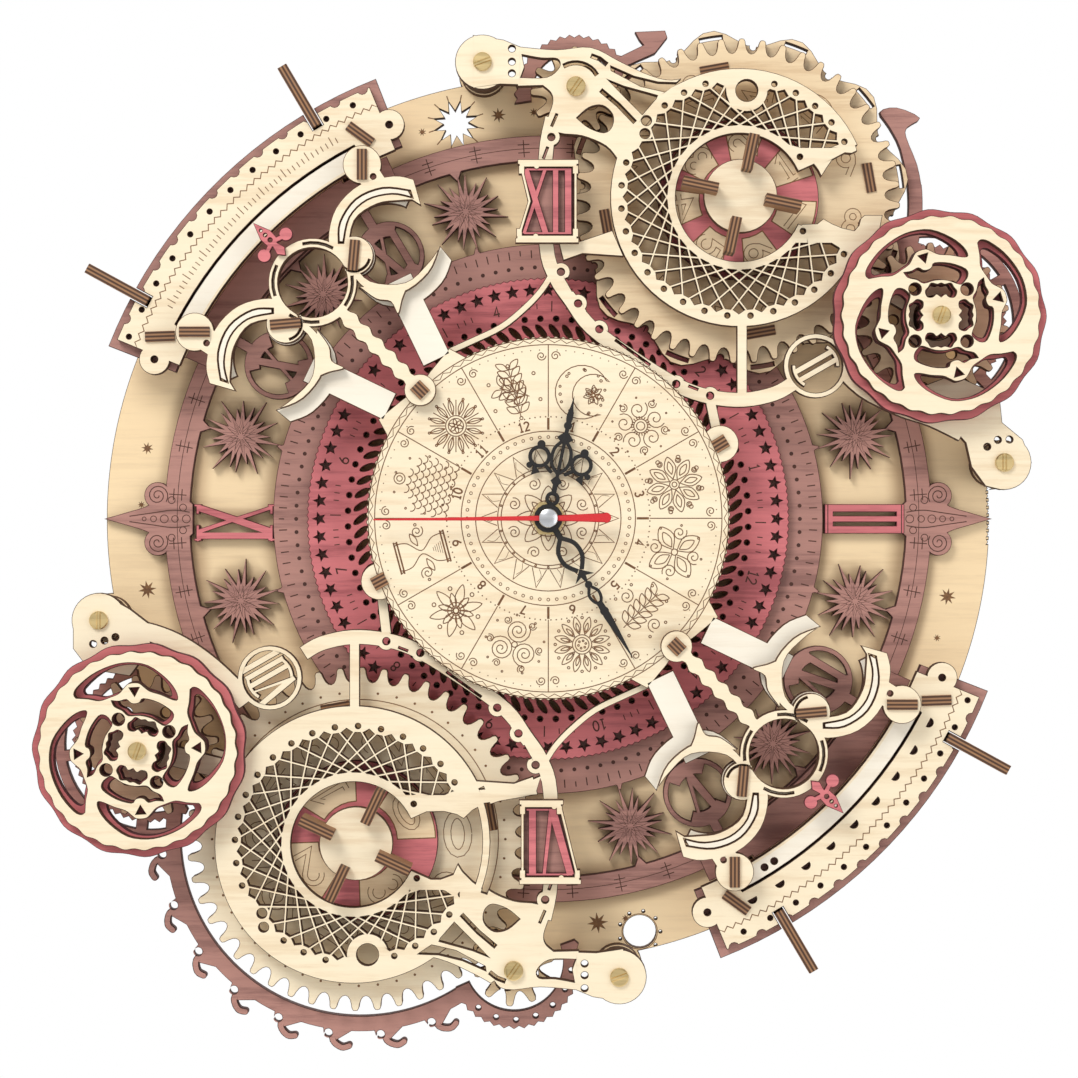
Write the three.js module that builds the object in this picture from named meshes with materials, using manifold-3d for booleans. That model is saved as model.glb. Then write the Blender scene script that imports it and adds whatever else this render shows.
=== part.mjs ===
// Plywood gear wall clock: month and date gears, two handwheels and a quartz movement.
// Millimetres, +Z up. The clock hangs on a wall in the plane Y = 0 and its face looks along -Y.
// Everything is drawn in face coordinates first: x to the right, y up, z out of the wall towards the viewer.
import * as THREE from 'three';
import { mergeVertices } from 'three/addons/utils/BufferGeometryUtils.js';
import Module from 'manifold-3d';

const wasm = await Module();
wasm.setup();

// ---------------------------------------------------------------- driving dimensions
const PLY = 3;
const CENTRE = [0, 0];

// Distance from the wall to the back of each layer.
const LAYER = {
  backBoard: 0,
  base: 3.2,
  numerals: 6.4,
  guard: 9.6,
  monthRing: 9.8,
  cam: 13.4,
  gear: 16.6,
  disc: 20.2,
  plaqueBacking: 20,
  plaque: 23.2,
  frame: 24,
  dial: 27.4,
  knob: 27.4,
  rim: 30,
  bracket: 30.8,
  wheelFace: 33.2,
  pointer: 34,
};

const BASE_RADIUS = 132.3;
const DIAL_RADIUS = 52.9;
const MONTH_RING = { inner: 50, outer: 71.8 };
const OUTER_RING = { inner: 107, outer: 114.5 };
const INNER_RING = { inner: 60, outer: 82.1 };
const SUN = { radius: 95, tip: 12.5, root: 5, rays: 6 };
const PLAQUE = { inner: 116.5, outer: 136.3, backingOuter: 138.5, halfSpan: 22.5, backingHalfSpan: 23.6 };
const BATTERY_WINDOW = { left: 6, right: 30, halfHeight: 30 };
const BORE_PLAY = 0.3;
// Joined sheets share flat faces: needless vertices on them closer than this to straight are dropped.
const SIMPLIFY = 0.06;
const HANDWHEEL_SHANK = 2;
const IDLER_SHANK = 1.6;
const AXLE_SHANK = 3;
const BRACKET_RING = { inner: 10.1, outer: 12.8, distance: 96.3 };

// The upper and lower gear groups. `side` is 1 above the dial and -1 below it, where the ribs are turned half round.
const UPPER = {
  name: 'upper',
  side: 1,
  axis: [55.8, 93.6],
  handwheel: [113.06, 58.45],
  idler: [8.05, 125.87],
  armEnds: [[-19.2, 133.1], [132.9, 16.3]],
  gear: { teeth: 48, pitch: 46.08 },
  pinion: { teeth: 22, pitch: 21.12 },
  idlerGear: { teeth: 12, pitch: 11.52 },
  crescent: { hole: 18.7, outer: 38.5 },
  bossHole: [57.9, 124.8],
  numeralRing: [78, 44.5],
  ear: [49.9, 21.6],
  finTurn: 78,
};
const LOWER = {
  name: 'lower',
  side: -1,
  axis: [-55.8, -94.4],
  handwheel: [-118.3, -67],
  idler: [-10.13, -131.77],
  armEnds: [[20.7, -133.7], [-131, -29.7]],
  gear: { teeth: 48, pitch: 48.86 },
  pinion: { teeth: 19, pitch: 19.34 },
  idlerGear: { teeth: 10, pitch: 10.18 },
  crescent: { hole: 18.3, outer: 40.5 },
  bossHole: [-52.7, -127.2],
  numeralRing: [-81.2, -46.5],
  ear: [-49, -18.3],
  finTurn: 65,
};
const GEAR_GROUPS = [UPPER, LOWER];

// ---------------------------------------------------------------- materials
function finish(color, roughness, metalness = 0) {
  return new THREE.MeshStandardMaterial({ color, roughness, metalness });
}
const TAN = finish(0xd9bc8c, 0.7);
const CREAM = finish(0xf1e3c0, 0.65);
const WHITE = finish(0xf6efdd, 0.65);
const MAUVE = finish(0x9a6a62, 0.7);
const PINK = finish(0xb4545c, 0.7);
const RED = finish(0xb23c46, 0.6);
const BRASS = finish(0xcfae62, 0.35, 1);
const BLACK = finish(0x141414, 0.4, 0.6);
const RED_METAL = finish(0xc01c24, 0.4, 0.5);
const PLASTIC = finish(0x1c1c1e, 0.5);
const BATTERY_SHELL = finish(0x3a3f45, 0.4, 0.4);

// ---------------------------------------------------------------- outlines, as lists of 2-D points
const radians = THREE.MathUtils.degToRad;

function polar(radius, degrees, [x, y] = CENTRE) {
  return new THREE.Vector2(x + radius * Math.cos(radians(degrees)), y + radius * Math.sin(radians(degrees)));
}

function arc(centre, radius, from, to, step = radius > 40 ? 9 : 22.5) {
  const steps = Math.max(2, Math.ceil(Math.abs(to - from) / step));
  return Array.from({ length: steps + 1 }, (_, i) => polar(radius, from + ((to - from) * i) / steps, centre));
}

function circle(centre, radius, sides = Math.round(8 + radius / 3)) {
  return Array.from({ length: sides }, (_, i) => polar(radius, (360 * i) / sides, centre));
}

function band(centre, inner, outer, from, to) {
  return [...arc(centre, outer, from, to), ...arc(centre, inner, to, from)];
}

function rectangle(left, bottom, right, top) {
  return [[left, bottom], [right, bottom], [right, top], [left, top]].map(([x, y]) => new THREE.Vector2(x, y));
}

function bar([ax, ay], [bx, by], width) {
  const along = new THREE.Vector2(bx - ax, by - ay).normalize();
  const [sx, sy] = [(-along.y * width) / 2, (along.x * width) / 2];
  return [[ax + sx, ay + sy], [ax - sx, ay - sy], [bx - sx, by - sy], [bx + sx, by + sy]].map(
    ([x, y]) => new THREE.Vector2(x, y),
  );
}

// A strip through the points, with a round joint at each.
function strip(points, width) {
  const joints = points.map((point) => circle(point, width / 2, 6));
  const bars = points.slice(1).map((point, i) => bar(points[i], point, width));
  return [...joints, ...bars];
}

function star(centre, tip, root, rays, turn = 0) {
  return Array.from({ length: 2 * rays }, (_, i) =>
    polar(i % 2 ? root : tip, turn + (180 * i) / rays, centre),
  );
}

// Narrow teeth with wide round-bottomed gaps, as laser-cut plywood gears have. The first tooth points along `turn`.
function toothed(teeth, pitchRadius, turn = 0) {
  const pitch = 360 / teeth;
  const profile = [
    [-0.25, -2.3],
    [-0.11, 1.7],
    [0.11, 1.7],
    [0.25, -2.3],
  ];
  return Array.from({ length: teeth }, (_, i) =>
    profile.map(([across, out]) => polar(pitchRadius + out, turn + pitch * (i + across))),
  ).flat();
}

// A wheel's edge that rises and falls in waves.
function wavy(radius, height, waves, turn = 0) {
  const steps = waves * 4;
  return Array.from({ length: steps }, (_, i) => {
    const angle = (360 * i) / steps;
    return polar(radius + height * Math.cos(radians((angle - turn) * waves)), angle);
  });
}

function flipped(points, side) {
  return points.map(([x, y]) => [side * x, side * y]);
}

function angleFrom([ax, ay], [bx, by]) {
  return THREE.MathUtils.radToDeg(Math.atan2(by - ay, bx - ax));
}

// ---------------------------------------------------------------- solids
function manifold(geometry) {
  geometry.deleteAttribute('normal');
  geometry.deleteAttribute('uv');
  const merged = mergeVertices(geometry);
  return new wasm.Manifold(
    new wasm.Mesh({
      numProp: 3,
      vertProperties: new Float32Array(merged.attributes.position.array),
      triVerts: new Uint32Array(merged.index.array),
    }),
  );
}

function slab(outline, bottom, top) {
  const geometry = new THREE.ExtrudeGeometry(new THREE.Shape(outline), {
    depth: top - bottom,
    bevelEnabled: false,
  });
  return manifold(geometry.translate(0, 0, bottom));
}

// A profile of [radius, height] pairs, turned about the z axis.
function turned(profile, sides = 20) {
  const points = profile.map(([radius, height]) => new THREE.Vector2(radius, height));
  return manifold(new THREE.LatheGeometry(points, sides).rotateX(Math.PI / 2));
}

const clock = new THREE.Group();

function addMesh(name, material, solid) {
  const { vertProperties, triVerts } = solid.asOriginal().simplify(SIMPLIFY).getMesh();
  const geometry = new THREE.BufferGeometry();
  geometry.setAttribute('position', new THREE.BufferAttribute(vertProperties, 3));
  geometry.setIndex(new THREE.BufferAttribute(triVerts, 1));
  geometry.computeVertexNormals();
  const mesh = new THREE.Mesh(geometry, material);
  mesh.name = name;
  clock.add(mesh);
  return mesh;
}

function joined(solids) {
  return solids.reduce((sum, solid) => sum.add(solid));
}

function cut(solid, cutters) {
  return cutters.reduce((rest, cutter) => rest.subtract(cutter), solid);
}

// A flat sheet: all the outlines joined, less all the holes.
function sheet(outlines, holes = [], thickness = PLY) {
  const body = joined(outlines.map((outline) => slab(outline, 0, thickness)));
  return cut(body, holes.map((hole) => slab(hole, -1, thickness + 1)));
}

function plate(name, material, layer, outlines, holes = [], thickness = PLY) {
  const mesh = addMesh(name, material, sheet(outlines, holes, thickness));
  mesh.position.z = layer;
  return mesh;
}

function place(mesh, [x, y], z = mesh.position.z) {
  mesh.position.set(x, y, z);
  return mesh;
}

// ---------------------------------------------------------------- back, base and numerals
const batteryWindow = rectangle(
  BATTERY_WINDOW.left,
  -BATTERY_WINDOW.halfHeight,
  BATTERY_WINDOW.right,
  BATTERY_WINDOW.halfHeight,
);

function addBackBoard() {
  const radius = 112;
  const keyhole = { y: 88, head: 4.5, slot: 2.3, rise: 10 };
  plate(
    'back_board',
    MAUVE,
    LAYER.backBoard,
    [circle(CENTRE, radius, 60)],
    [
      batteryWindow,
      circle([0, keyhole.y], keyhole.head),
      ...strip([[0, keyhole.y], [0, keyhole.y + keyhole.rise]], 2 * keyhole.slot),
    ],
  );
}

function addBase() {
  const armLugs = GEAR_GROUPS.flatMap((group) => group.armEnds.map((end) => circle(end, 7.5, 16)));
  const wheelLugs = GEAR_GROUPS.map((group) => circle(group.handwheel, 10, 16));
  const idlerLugs = GEAR_GROUPS.map((group) => circle(group.idler, 8, 16));
  const starAngles = [156, 170, -170, -156, 24, 10, -10, -24, 96, 112, -68, -80];
  const stars = starAngles.map((angle) => star(polar(121.5, angle).toArray(), 3.2, 1.4, 4, angle));
  const burst = star([-27.6, 118.7], 6.4, 3.6, 8);
  const moon = circle([27.5, -123.7], 4.9);
  plate(
    'base_disc',
    TAN,
    LAYER.base,
    [circle(CENTRE, BASE_RADIUS, 80), ...armLugs, ...wheelLugs, ...idlerLugs],
    [batteryWindow, ...stars, burst, moon],
  );
}

// A compass ornament at the end of the horizontal axis, pointing outwards along +x or -x.
function compass(side) {
  const blade = [[106, 5], [115, 4.6], [120, 2.6], [133, 0], [120, -2.6], [115, -4.6], [106, -5]];
  const scrolls = [7, -7].map((y) => circle([side * 117, y], 3.2));
  return [blade.map(([x, y]) => new THREE.Vector2(side * x, y)), ...scrolls];
}

function addNumeralFrame() {
  const sunAngles = Array.from({ length: 12 }, (_, i) => 15 + 30 * i);
  const suns = sunAngles.map((angle) => star(polar(SUN.radius, angle).toArray(), SUN.tip, SUN.root, SUN.rays, angle));
  const bridges = sunAngles.map((angle) =>
    bar(polar(INNER_RING.outer - 1, angle).toArray(), polar(OUTER_RING.inner + 1, angle).toArray(), 1.6),
  );
  const numeralCentres = [[-80.4, 46], [-47.2, 78.6], [80.7, -48.2], [44.7, -81.8]];
  const numeralRings = numeralCentres.map((centre) => circle(centre, 10.3, 16));
  const numeralStems = numeralCentres.map((centre) => {
    const angle = angleFrom(CENTRE, centre);
    return bar(polar(100, angle).toArray(), polar(OUTER_RING.inner + 1, angle).toArray(), 2.5);
  });
  const between = sheet([...suns, ...bridges, ...numeralRings, ...numeralStems]);
  const outer = sheet([circle(CENTRE, OUTER_RING.outer, 72), ...compass(1), ...compass(-1)],
    [circle(CENTRE, OUTER_RING.inner, 72)]);
  const inner = sheet([circle(CENTRE, INNER_RING.outer, 60)], [circle(CENTRE, INNER_RING.inner, 48)]);
  addMesh('numeral_frame', MAUVE, joined([outer, inner, between])).position.z = LAYER.numerals;
}

// Three and nine lie between the rings. Twelve and six stand in front, on the frames.
function addNumeralPlates() {
  const inner = 82.8;
  const outer = 106.4;
  const barEnds = [84.8, 104.4];
  const threeSlots = [-1.4, 1.4].map((y) => rectangle(barEnds[0], y - 0.5, barEnds[1], y + 0.5));
  plate('numeral_three', PINK, LAYER.numerals, [rectangle(inner, -4.4, outer, 4.4)], threeSlots);
  const nineSlots = [-2, 1].map((y) => rectangle(-barEnds[1], y, -barEnds[0], y + 1));
  plate('numeral_nine', PINK, LAYER.numerals, [rectangle(-outer, -4.4, -inner, 4.4)], nineSlots);
  const twelveSlots = [-6, -1, 4].map((x) => rectangle(x, 82.4, x + 1.6, 101.7));
  plate('numeral_twelve', CREAM, LAYER.dial, [rectangle(-9.6, 79.9, 8.9, 104.2)], twelveSlots);
  const sixSlots = [-5.4, -0.4, 4.6].map((x) => rectangle(x, -103.8, x + 1.6, -84.2));
  plate('numeral_six', CREAM, LAYER.dial, [rectangle(-8.5, -106.3, 9.6, -81.7)], sixSlots);
}

// ---------------------------------------------------------------- gear guards behind the gears
function addUpperGuard() {
  const { axis, idler } = UPPER;
  const hookFoot = polar(53, 33, axis).toArray();
  const hookTip = polar(62, 40, axis).toArray();
  const arrow = [[26, 139], [34, 146], [36.5, 139.5], [30, 134]].map(([x, y]) => new THREE.Vector2(x, y));
  plate('upper_gear_guard', MAUVE, LAYER.guard, [
    band(axis, 38, 45, -45, 150),
    band(axis, 44, 56.6, -45, 20),
    band(axis, 51, 56.6, 18, 36),
    bar(hookFoot, hookTip, 6),
    band(idler, 13, 18.3, 15, 190),
    bar([24, 119], [23.4, 132], 5),
    bar([22, 131.5], [31, 141], 4.5),
    arrow,
  ]);
}

function addLowerGuard() {
  const { axis, idler } = LOWER;
  const hookAngles = Array.from({ length: 8 }, (_, i) => 187.8 + 15.1 * i);
  const hooks = hookAngles.map((angle) => circle(polar(59.4, angle, axis).toArray(), 4.4));
  const hookHoles = hookAngles.map((angle) => circle(polar(59, angle, axis).toArray(), 1.5, 6));
  plate(
    'lower_gear_guard',
    MAUVE,
    LAYER.guard,
    [band(axis, 53.5, 58, 148, 304), ...hooks, band(idler, 15, 20, 208, 380)],
    hookHoles,
  );
}

// ---------------------------------------------------------------- month ring and dial
function addMonthRing() {
  const { inner, outer } = MONTH_RING;
  plate('month_ring', PINK, LAYER.monthRing, [circle(CENTRE, outer, 60)], [circle(CENTRE, inner, 48)]);
}

const ARBOR = { radius: 3.9, bore: 2.9, top: 31.2 };

function addDial() {
  const rim = circle(CENTRE, DIAL_RADIUS, 60);
  plate('dial', CREAM, LAYER.dial, [rim], [circle(CENTRE, ARBOR.radius + BORE_PLAY, 16)]);
  const cradle = turned([[41, 6.4], [47, 6.4], [47, 27.2], [41, 27.2], [41, 6.4]], 36);
  addMesh('dial_cradle', TAN, cradle);
}

// ---------------------------------------------------------------- movement and hands
const MOVEMENT = { half: 28, back: 11.2, front: 27.2 };
const BATTERY = { radius: 7.25, x: 16.5, z: 18.9, halfLength: 25.2 };

function addMovement() {
  const { half, back, front } = MOVEMENT;
  const corner = 4;
  const corners = [[1, 1], [-1, 1], [-1, -1], [1, -1]];
  const outline = corners.flatMap(([sx, sy], i) =>
    arc([sx * (half - corner), sy * (half - corner)], corner, 90 * i, 90 * i + 90, 30));
  const pocket = rectangle(BATTERY.x - 7.7, -25.8, BATTERY.x + 7.7, 25.8);
  const body = joined([slab(outline, back, front), slab(circle(CENTRE, ARBOR.radius, 16), front - 1, ARBOR.top)]);
  const bore = slab(circle(CENTRE, ARBOR.bore, 16), front + 0.3, ARBOR.top + 1);
  addMesh('quartz_movement', PLASTIC, cut(body, [slab(pocket, back - 1, front - 0.8), bore]));

  const { radius, halfLength } = BATTERY;
  const cell = turned([[0, -halfLength], [radius, -halfLength], [radius, halfLength - 1.4],
    [2.7, halfLength - 1.4], [2.7, halfLength], [0, halfLength]]);
  const battery = addMesh('battery', BATTERY_SHELL, cell);
  battery.rotation.x = -Math.PI / 2;
  battery.position.set(BATTERY.x, 0, BATTERY.z);

  const nut = { radius: 5.4, bottom: 30.6, thickness: 0.8 };
  plate('arbor_nut', BRASS, nut.bottom, [circle(CENTRE, nut.radius, 6)],
    [circle(CENTRE, ARBOR.radius + BORE_PLAY, 16)], nut.thickness);
}

// A hand cut from thin metal, pointing along +x before it is turned, with the tube that it rides on.
function addHand({ name, material, outlines, layer, thickness, outer, inner, tubeBottom, cap = 0, pointing }) {
  const top = layer + thickness;
  const tube = slab(circle(CENTRE, outer, 12), tubeBottom, top);
  const body = joined([...outlines.map((outline) => slab(outline, layer, top)), tube]);
  const capped = cap ? body.add(slab(circle(CENTRE, 3, 20), layer, top + cap)) : body;
  const bored = inner ? cut(capped, [slab(circle(CENTRE, inner, 12), tubeBottom - 1, top + 1)]) : capped;
  addMesh(name, material, bored).rotation.z = radians(pointing);
}

function addHands() {
  const spade = [[0, 1.1], [16, 1.1], [20, 5.6], [27, 2.2], [36, 0], [27, -2.2], [20, -5.6], [16, -1.1], [0, -1.1]];
  const leaf = [[0, 1], [13, 1], [19, 3], [27, 1.1], [48.6, 0], [27, -1.1], [19, -3], [13, -1], [0, -1]];
  const needle = [[-18, 1.6], [-16, 1.9], [0, 0.7], [50.4, 0.25], [50.4, -0.25], [0, -0.7], [-16, -1.9], [-18, -1.6]];
  const asOutline = (points) => points.map(([x, y]) => new THREE.Vector2(x, y));
  const hub = circle(CENTRE, 4.4, 16);
  addHand({ name: 'hour_hand', material: BLACK, outlines: [asOutline(spade), hub], layer: 31.7, thickness: 0.8,
    outer: 2.6, inner: 1.95, tubeBottom: 28, pointing: 78 });
  addHand({ name: 'minute_hand', material: BLACK, outlines: [asOutline(leaf), hub], layer: 34.2, thickness: 0.7,
    outer: 1.65, inner: 0.8, tubeBottom: 28.4, pointing: -58.8 });
  addHand({ name: 'second_hand', material: RED_METAL, outlines: [asOutline(needle)], layer: 36, thickness: 0.5,
    outer: 0.5, inner: 0, tubeBottom: 28.8, cap: 1.5, pointing: 180.5 });
}

// ---------------------------------------------------------------- gears, idlers and handwheels
// The main gear has a tooth on the line to the handwheel. This turns a driven wheel so that a gap of it
// meets the main gear's teeth, wherever they are on the line between the two axes.
function meshTurn({ axis, gear, handwheel }, partner, { teeth }) {
  const offset = (angleFrom(axis, handwheel) - angleFrom(axis, partner)) % (360 / gear.teeth);
  return angleFrom(partner, axis) - (offset * gear.teeth) / teeth + 180 / teeth;
}

function addMainGear(group) {
  const { axis, gear, name } = group;
  const toothAt = angleFrom(axis, group.handwheel);
  const bore = circle(CENTRE, AXLE_SHANK + BORE_PLAY, 20);
  const gearName = name === 'upper' ? 'month_gear' : 'date_gear';
  place(plate(gearName, TAN, LAYER.gear, [toothed(gear.teeth, gear.pitch, toothAt)], [bore]), axis);
  if (name === 'upper') {
    place(plate('month_cam', TAN, LAYER.cam, [wavy(48.8, 2.5, 12, 99)], [bore]), axis);
  }
  const axle = turned([[0, 9.6], [6, 9.6], [6, 13], [AXLE_SHANK, 13], [AXLE_SHANK, 26.6], [0, 26.6]]);
  place(addMesh(`${name}_gear_axle`, TAN, axle), axis, 0);
}

function addIdler(group) {
  const { name, idler, idlerGear } = group;
  const outline = toothed(idlerGear.teeth, idlerGear.pitch, meshTurn(group, idler, idlerGear));
  const bore = circle(CENTRE, IDLER_SHANK + BORE_PLAY, 16);
  place(plate(`${name}_idler`, TAN, LAYER.gear, [outline], [bore]), idler);
  const screw = turned([[0, 6.4], [3.4, 6.4], [3.4, 16.2], [IDLER_SHANK, 16.2], [IDLER_SHANK, 27.3],
    [2.8, 27.3], [2.8, 28.7], [0, 28.7]], 16);
  place(addMesh(`${name}_idler_screw`, BRASS, screw), idler, 0);
}

const WHEEL = { rim: 31, face: 28.8, hub: 6 };

function wheelWindows(margin) {
  const outer = [0, 90, 180, 270].map((turn) => band(CENTRE, 19 + margin, 24.6 - margin, turn + 8, turn + 70));
  const inner = [45, 135, 225, 315].map((turn) => band(CENTRE, 12.4 + margin, 15.6 - margin, turn - 24, turn + 24));
  return [...outer, ...inner];
}

function addHandwheel(group) {
  const { name, handwheel, pinion } = group;
  const bore = circle(CENTRE, HANDWHEEL_SHANK + BORE_PLAY, 12);
  const rim = plate(`${name}_wheel_rim`, RED, LAYER.rim, [circle(CENTRE, WHEEL.rim, 40)], [bore, ...wheelWindows(0.5)]);
  place(rim, handwheel);
  const face = plate(`${name}_wheel_face`, CREAM, LAYER.wheelFace, [circle(CENTRE, WHEEL.face, 40)],
    [bore, ...wheelWindows(0)]);
  place(face, handwheel);
  const teeth = slab(toothed(pinion.teeth, pinion.pitch, meshTurn(group, handwheel, pinion)), 0, PLY);
  const hub = slab(circle(CENTRE, WHEEL.hub, 24), 0, LAYER.rim - LAYER.gear - 0.2);
  const pinionSolid = cut(joined([teeth, hub]), [slab(bore, -1, 20)]);
  place(addMesh(`${name}_pinion`, TAN, pinionSolid), handwheel, LAYER.gear);
  const shank = HANDWHEEL_SHANK;
  const screw = turned([[0, 6.4], [5, 6.4], [5, 16.2], [shank, 16.2], [shank, 36.6], [3.4, 36.6], [3.4, 38.6],
    [0, 38.6]], 16);
  place(addMesh(`${name}_wheel_screw`, BRASS, screw), handwheel, 0);
}

// The indicator disc seen through the crescent, and the finned knob that turns it.
function addIndicator(group, discName, knobName) {
  const { axis, finTurn } = group;
  const bore = circle(CENTRE, AXLE_SHANK + BORE_PLAY, 20);
  place(plate(discName, PINK, LAYER.disc, [circle(CENTRE, 23.5, 48)], [bore]), axis);
  const knob = { radius: 10.7, hub: 6, hubBottom: 23.4, finTop: 36.8, finInner: 7, finOuter: 17.4 };
  const top = LAYER.knob + PLY;
  const fins = [0, 90, 180, 270].map((turn) => {
    const from = polar(knob.finInner, finTurn + turn).toArray();
    const to = polar(knob.finOuter, finTurn + turn).toArray();
    return slab(bar(from, to, PLY), LAYER.knob, knob.finTop);
  });
  const hub = slab(circle(CENTRE, knob.hub, 24), knob.hubBottom, top);
  const hollow = slab(bore, knob.hubBottom - 1, LAYER.knob);
  const head = slab(circle(CENTRE, knob.radius, 36), LAYER.knob, top);
  place(addMesh(knobName, TAN, cut(joined([head, hub, ...fins]), [hollow])), axis, 0);
}

// ---------------------------------------------------------------- front frames
function crescentWindows({ axis }, mouth) {
  const count = 6;
  const span = (360 - 2 * mouth) / count;
  return Array.from({ length: count }, (_, i) => {
    const from = mouth + span * i;
    return band(axis, 21.6, 30.4, from + 2.5, from + span - 2.5);
  });
}

function addFrame(group) {
  const { name, side, axis, idler, handwheel, armEnds, crescent, bossHole, numeralRing, ear } = group;
  const mouth = 26;
  const rib = 2.6;
  const innerBand = flipped([[2, 118], [1.9, 109], [2.1, 72], [6.7, 63.5], [12.6, 55.6], [25, 46.6], [37.4, 38.9],
    [47, 35.5], [67, 36]], side);
  const spoke = flipped([[56.5, 57], [56.5, 35.5]], side);
  const outerRib = flipped([[8, 132], [26, 133], [42, 129]], side);
  const middleRib = flipped([[8, 126], [26, 122], [30, 114]], side);
  const upperNeck = flipped([[2, 112], [20, 106]], side);
  const lowerNeck = flipped([[2, 76], [20, 78]], side);
  const bearingRib = [[axis[0] + side * 30, axis[1] - side * 19], handwheel];
  const wheelArm = flipped([[86, 44], [103, 30], [120, 22]], side);
  const outlines = [
    band(axis, crescent.hole, crescent.outer, mouth, 360 - mouth),
    circle(bossHole, 6.2, 20),
    ...strip([...innerBand, numeralRing], 4),
    ...strip(spoke, 3),
    ...strip(outerRib, rib),
    ...strip(middleRib, rib),
    ...strip(upperNeck, 7),
    ...strip(lowerNeck, 6),
    ...strip(bearingRib, 6),
    circle(handwheel, 10, 20),
    circle(numeralRing, 9.2, 20),
    ...strip(wheelArm, 6),
    circle(idler, 8, 18),
    bar(idler, armEnds[0], 10),
    ...armEnds.map((end) => circle(end, 7.5, 18)),
    bar(wheelArm[2], armEnds[1], 9),
    circle(ear, 5, 20),
    ...strip([flipped([[47, 35.5]], side)[0], ear], 3),
  ];
  const hollow = [45, 225].map((turn) => band(numeralRing, 2, 7.4, turn - 75, turn + 75));
  plate(`${name}_frame`, CREAM, LAYER.frame, outlines, [
    ...crescentWindows(group, mouth),
    circle(bossHole, 3.3),
    circle(handwheel, WHEEL.hub + 0.5, 20),
    circle(idler, IDLER_SHANK + BORE_PLAY, 16),
    ...hollow,
  ]);
  armEnds.forEach((end, i) => {
    const riserName = `${name}_${i ? 'outer' : 'inner'}_riser`;
    plate(riserName, TAN, LAYER.numerals, [circle(end, 6.8, 18)], [], LAYER.frame - LAYER.numerals - 0.2);
  });
}

// ---------------------------------------------------------------- plaques and trident brackets
const CORNERS = [
  { name: 'upper_left', middle: 135, pegs: [120.5, 151.5] },
  { name: 'lower_right', middle: -45, pegs: [-28.7, -59.6] },
];

function addPlaque({ name, middle, pegs }) {
  const { inner, outer, backingOuter, halfSpan, backingHalfSpan } = PLAQUE;
  const slots = pegs.map((angle) => bar(polar(132.4, angle).toArray(), polar(142, angle).toArray(), 3.6));
  plate(`${name}_plaque_backing`, MAUVE, LAYER.plaqueBacking,
    [band(CENTRE, inner + 0.8, backingOuter, middle - backingHalfSpan, middle + backingHalfSpan)], slots);
  const lugs = [-1, 1].map((end) => circle(polar(124, middle + end * (halfSpan + 0.5)).toArray(), 4.5));
  plate(`${name}_plaque`, CREAM, LAYER.plaque,
    [band(CENTRE, inner, outer, middle - halfSpan, middle + halfSpan), ...lugs], slots);
}

// An upright board: its foot stands on the base disc and its outer end shows past the plaque as a peg.
function addPegBoard(name, angle) {
  const profile = [[118, 6.4], [130, 6.4], [134, 15], [153, 17.5], [153, 27.5], [133, 27.5], [133, 19.7],
    [118, 19.7]].map(([x, y]) => new THREE.Vector2(x, y));
  const board = new THREE.ExtrudeGeometry(new THREE.Shape(profile), { depth: PLY, bevelEnabled: false });
  board.translate(0, 0, -PLY / 2).rotateX(Math.PI / 2);
  addMesh(name, TAN, manifold(board)).rotation.z = radians(angle);
}

// The bracket is drawn with its middle along +x, then turned to its corner.
function addBracket({ name, middle }) {
  const ringCentre = [BRACKET_RING.distance, 0];
  const claws = [14.6, -14.6].map((turn) => polar(91.8, turn).toArray());
  const ear = [52.4, 0];
  const spoke = [[BRACKET_RING.distance - BRACKET_RING.outer + 1, 0], ear];
  // Each claw is a C round a numeral, open towards the dial.
  const clawBands = (inner, outer) =>
    claws.map((centre, i) => band(centre, inner, outer, i ? -82 : 82, i ? 220 : -220));
  const ring = circle(ringCentre, BRACKET_RING.outer, 28);
  const hole = circle(ringCentre, BRACKET_RING.inner, 28);
  const legAt = (side, halfLength, width) => {
    const [x, y] = [93.4, side * 14];
    const [dx, dy] = polar(halfLength, side * 50).toArray();
    return bar([x - dx, y - dy], [x + dx, y + dy], width);
  };
  const pads = [1, -1].map((side) => circle([93.4, side * 14], 6, 20));
  const legs = [1, -1].map((side) => slab(legAt(side, 3, PLY), LAYER.guard, LAYER.bracket + 1));
  const flat = sheet([ring, ...strip(spoke, 4), circle(ear, 4.6, 20), ...clawBands(11.6, 14), ...pads], [hole]);
  const bracket = flat.translate([0, 0, LAYER.bracket]);
  addMesh(`${name}_bracket`, CREAM, joined([bracket, ...legs])).rotation.z = radians(middle);

  const stems = [1, -1].map((side) => bar([78, side * 17], [54.8, side * 9], 7));
  const legSlots = [1, -1].map((side) => legAt(side, 3.3, PLY + 0.6));
  const backing = plate(`${name}_bracket_backing`, WHITE, LAYER.dial,
    [circle(ringCentre, BRACKET_RING.outer - 0.4, 28), ...clawBands(10.8, 13.2), ...stems, ...pads],
    [hole, ...legSlots]);
  backing.rotation.z = radians(middle);

  const fleur = [[107.5, -1.4], [112, -1.4], [113.5, -3.8], [115, -1.6], [120, 0], [115, 1.6], [113.5, 3.8],
    [112, 1.4], [107.5, 1.4]].map(([x, y]) => new THREE.Vector2(x, y));
  plate(`${name}_pointer`, PINK, LAYER.pointer, [fleur], [], 1.6).rotation.z = radians(middle);
}

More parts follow.
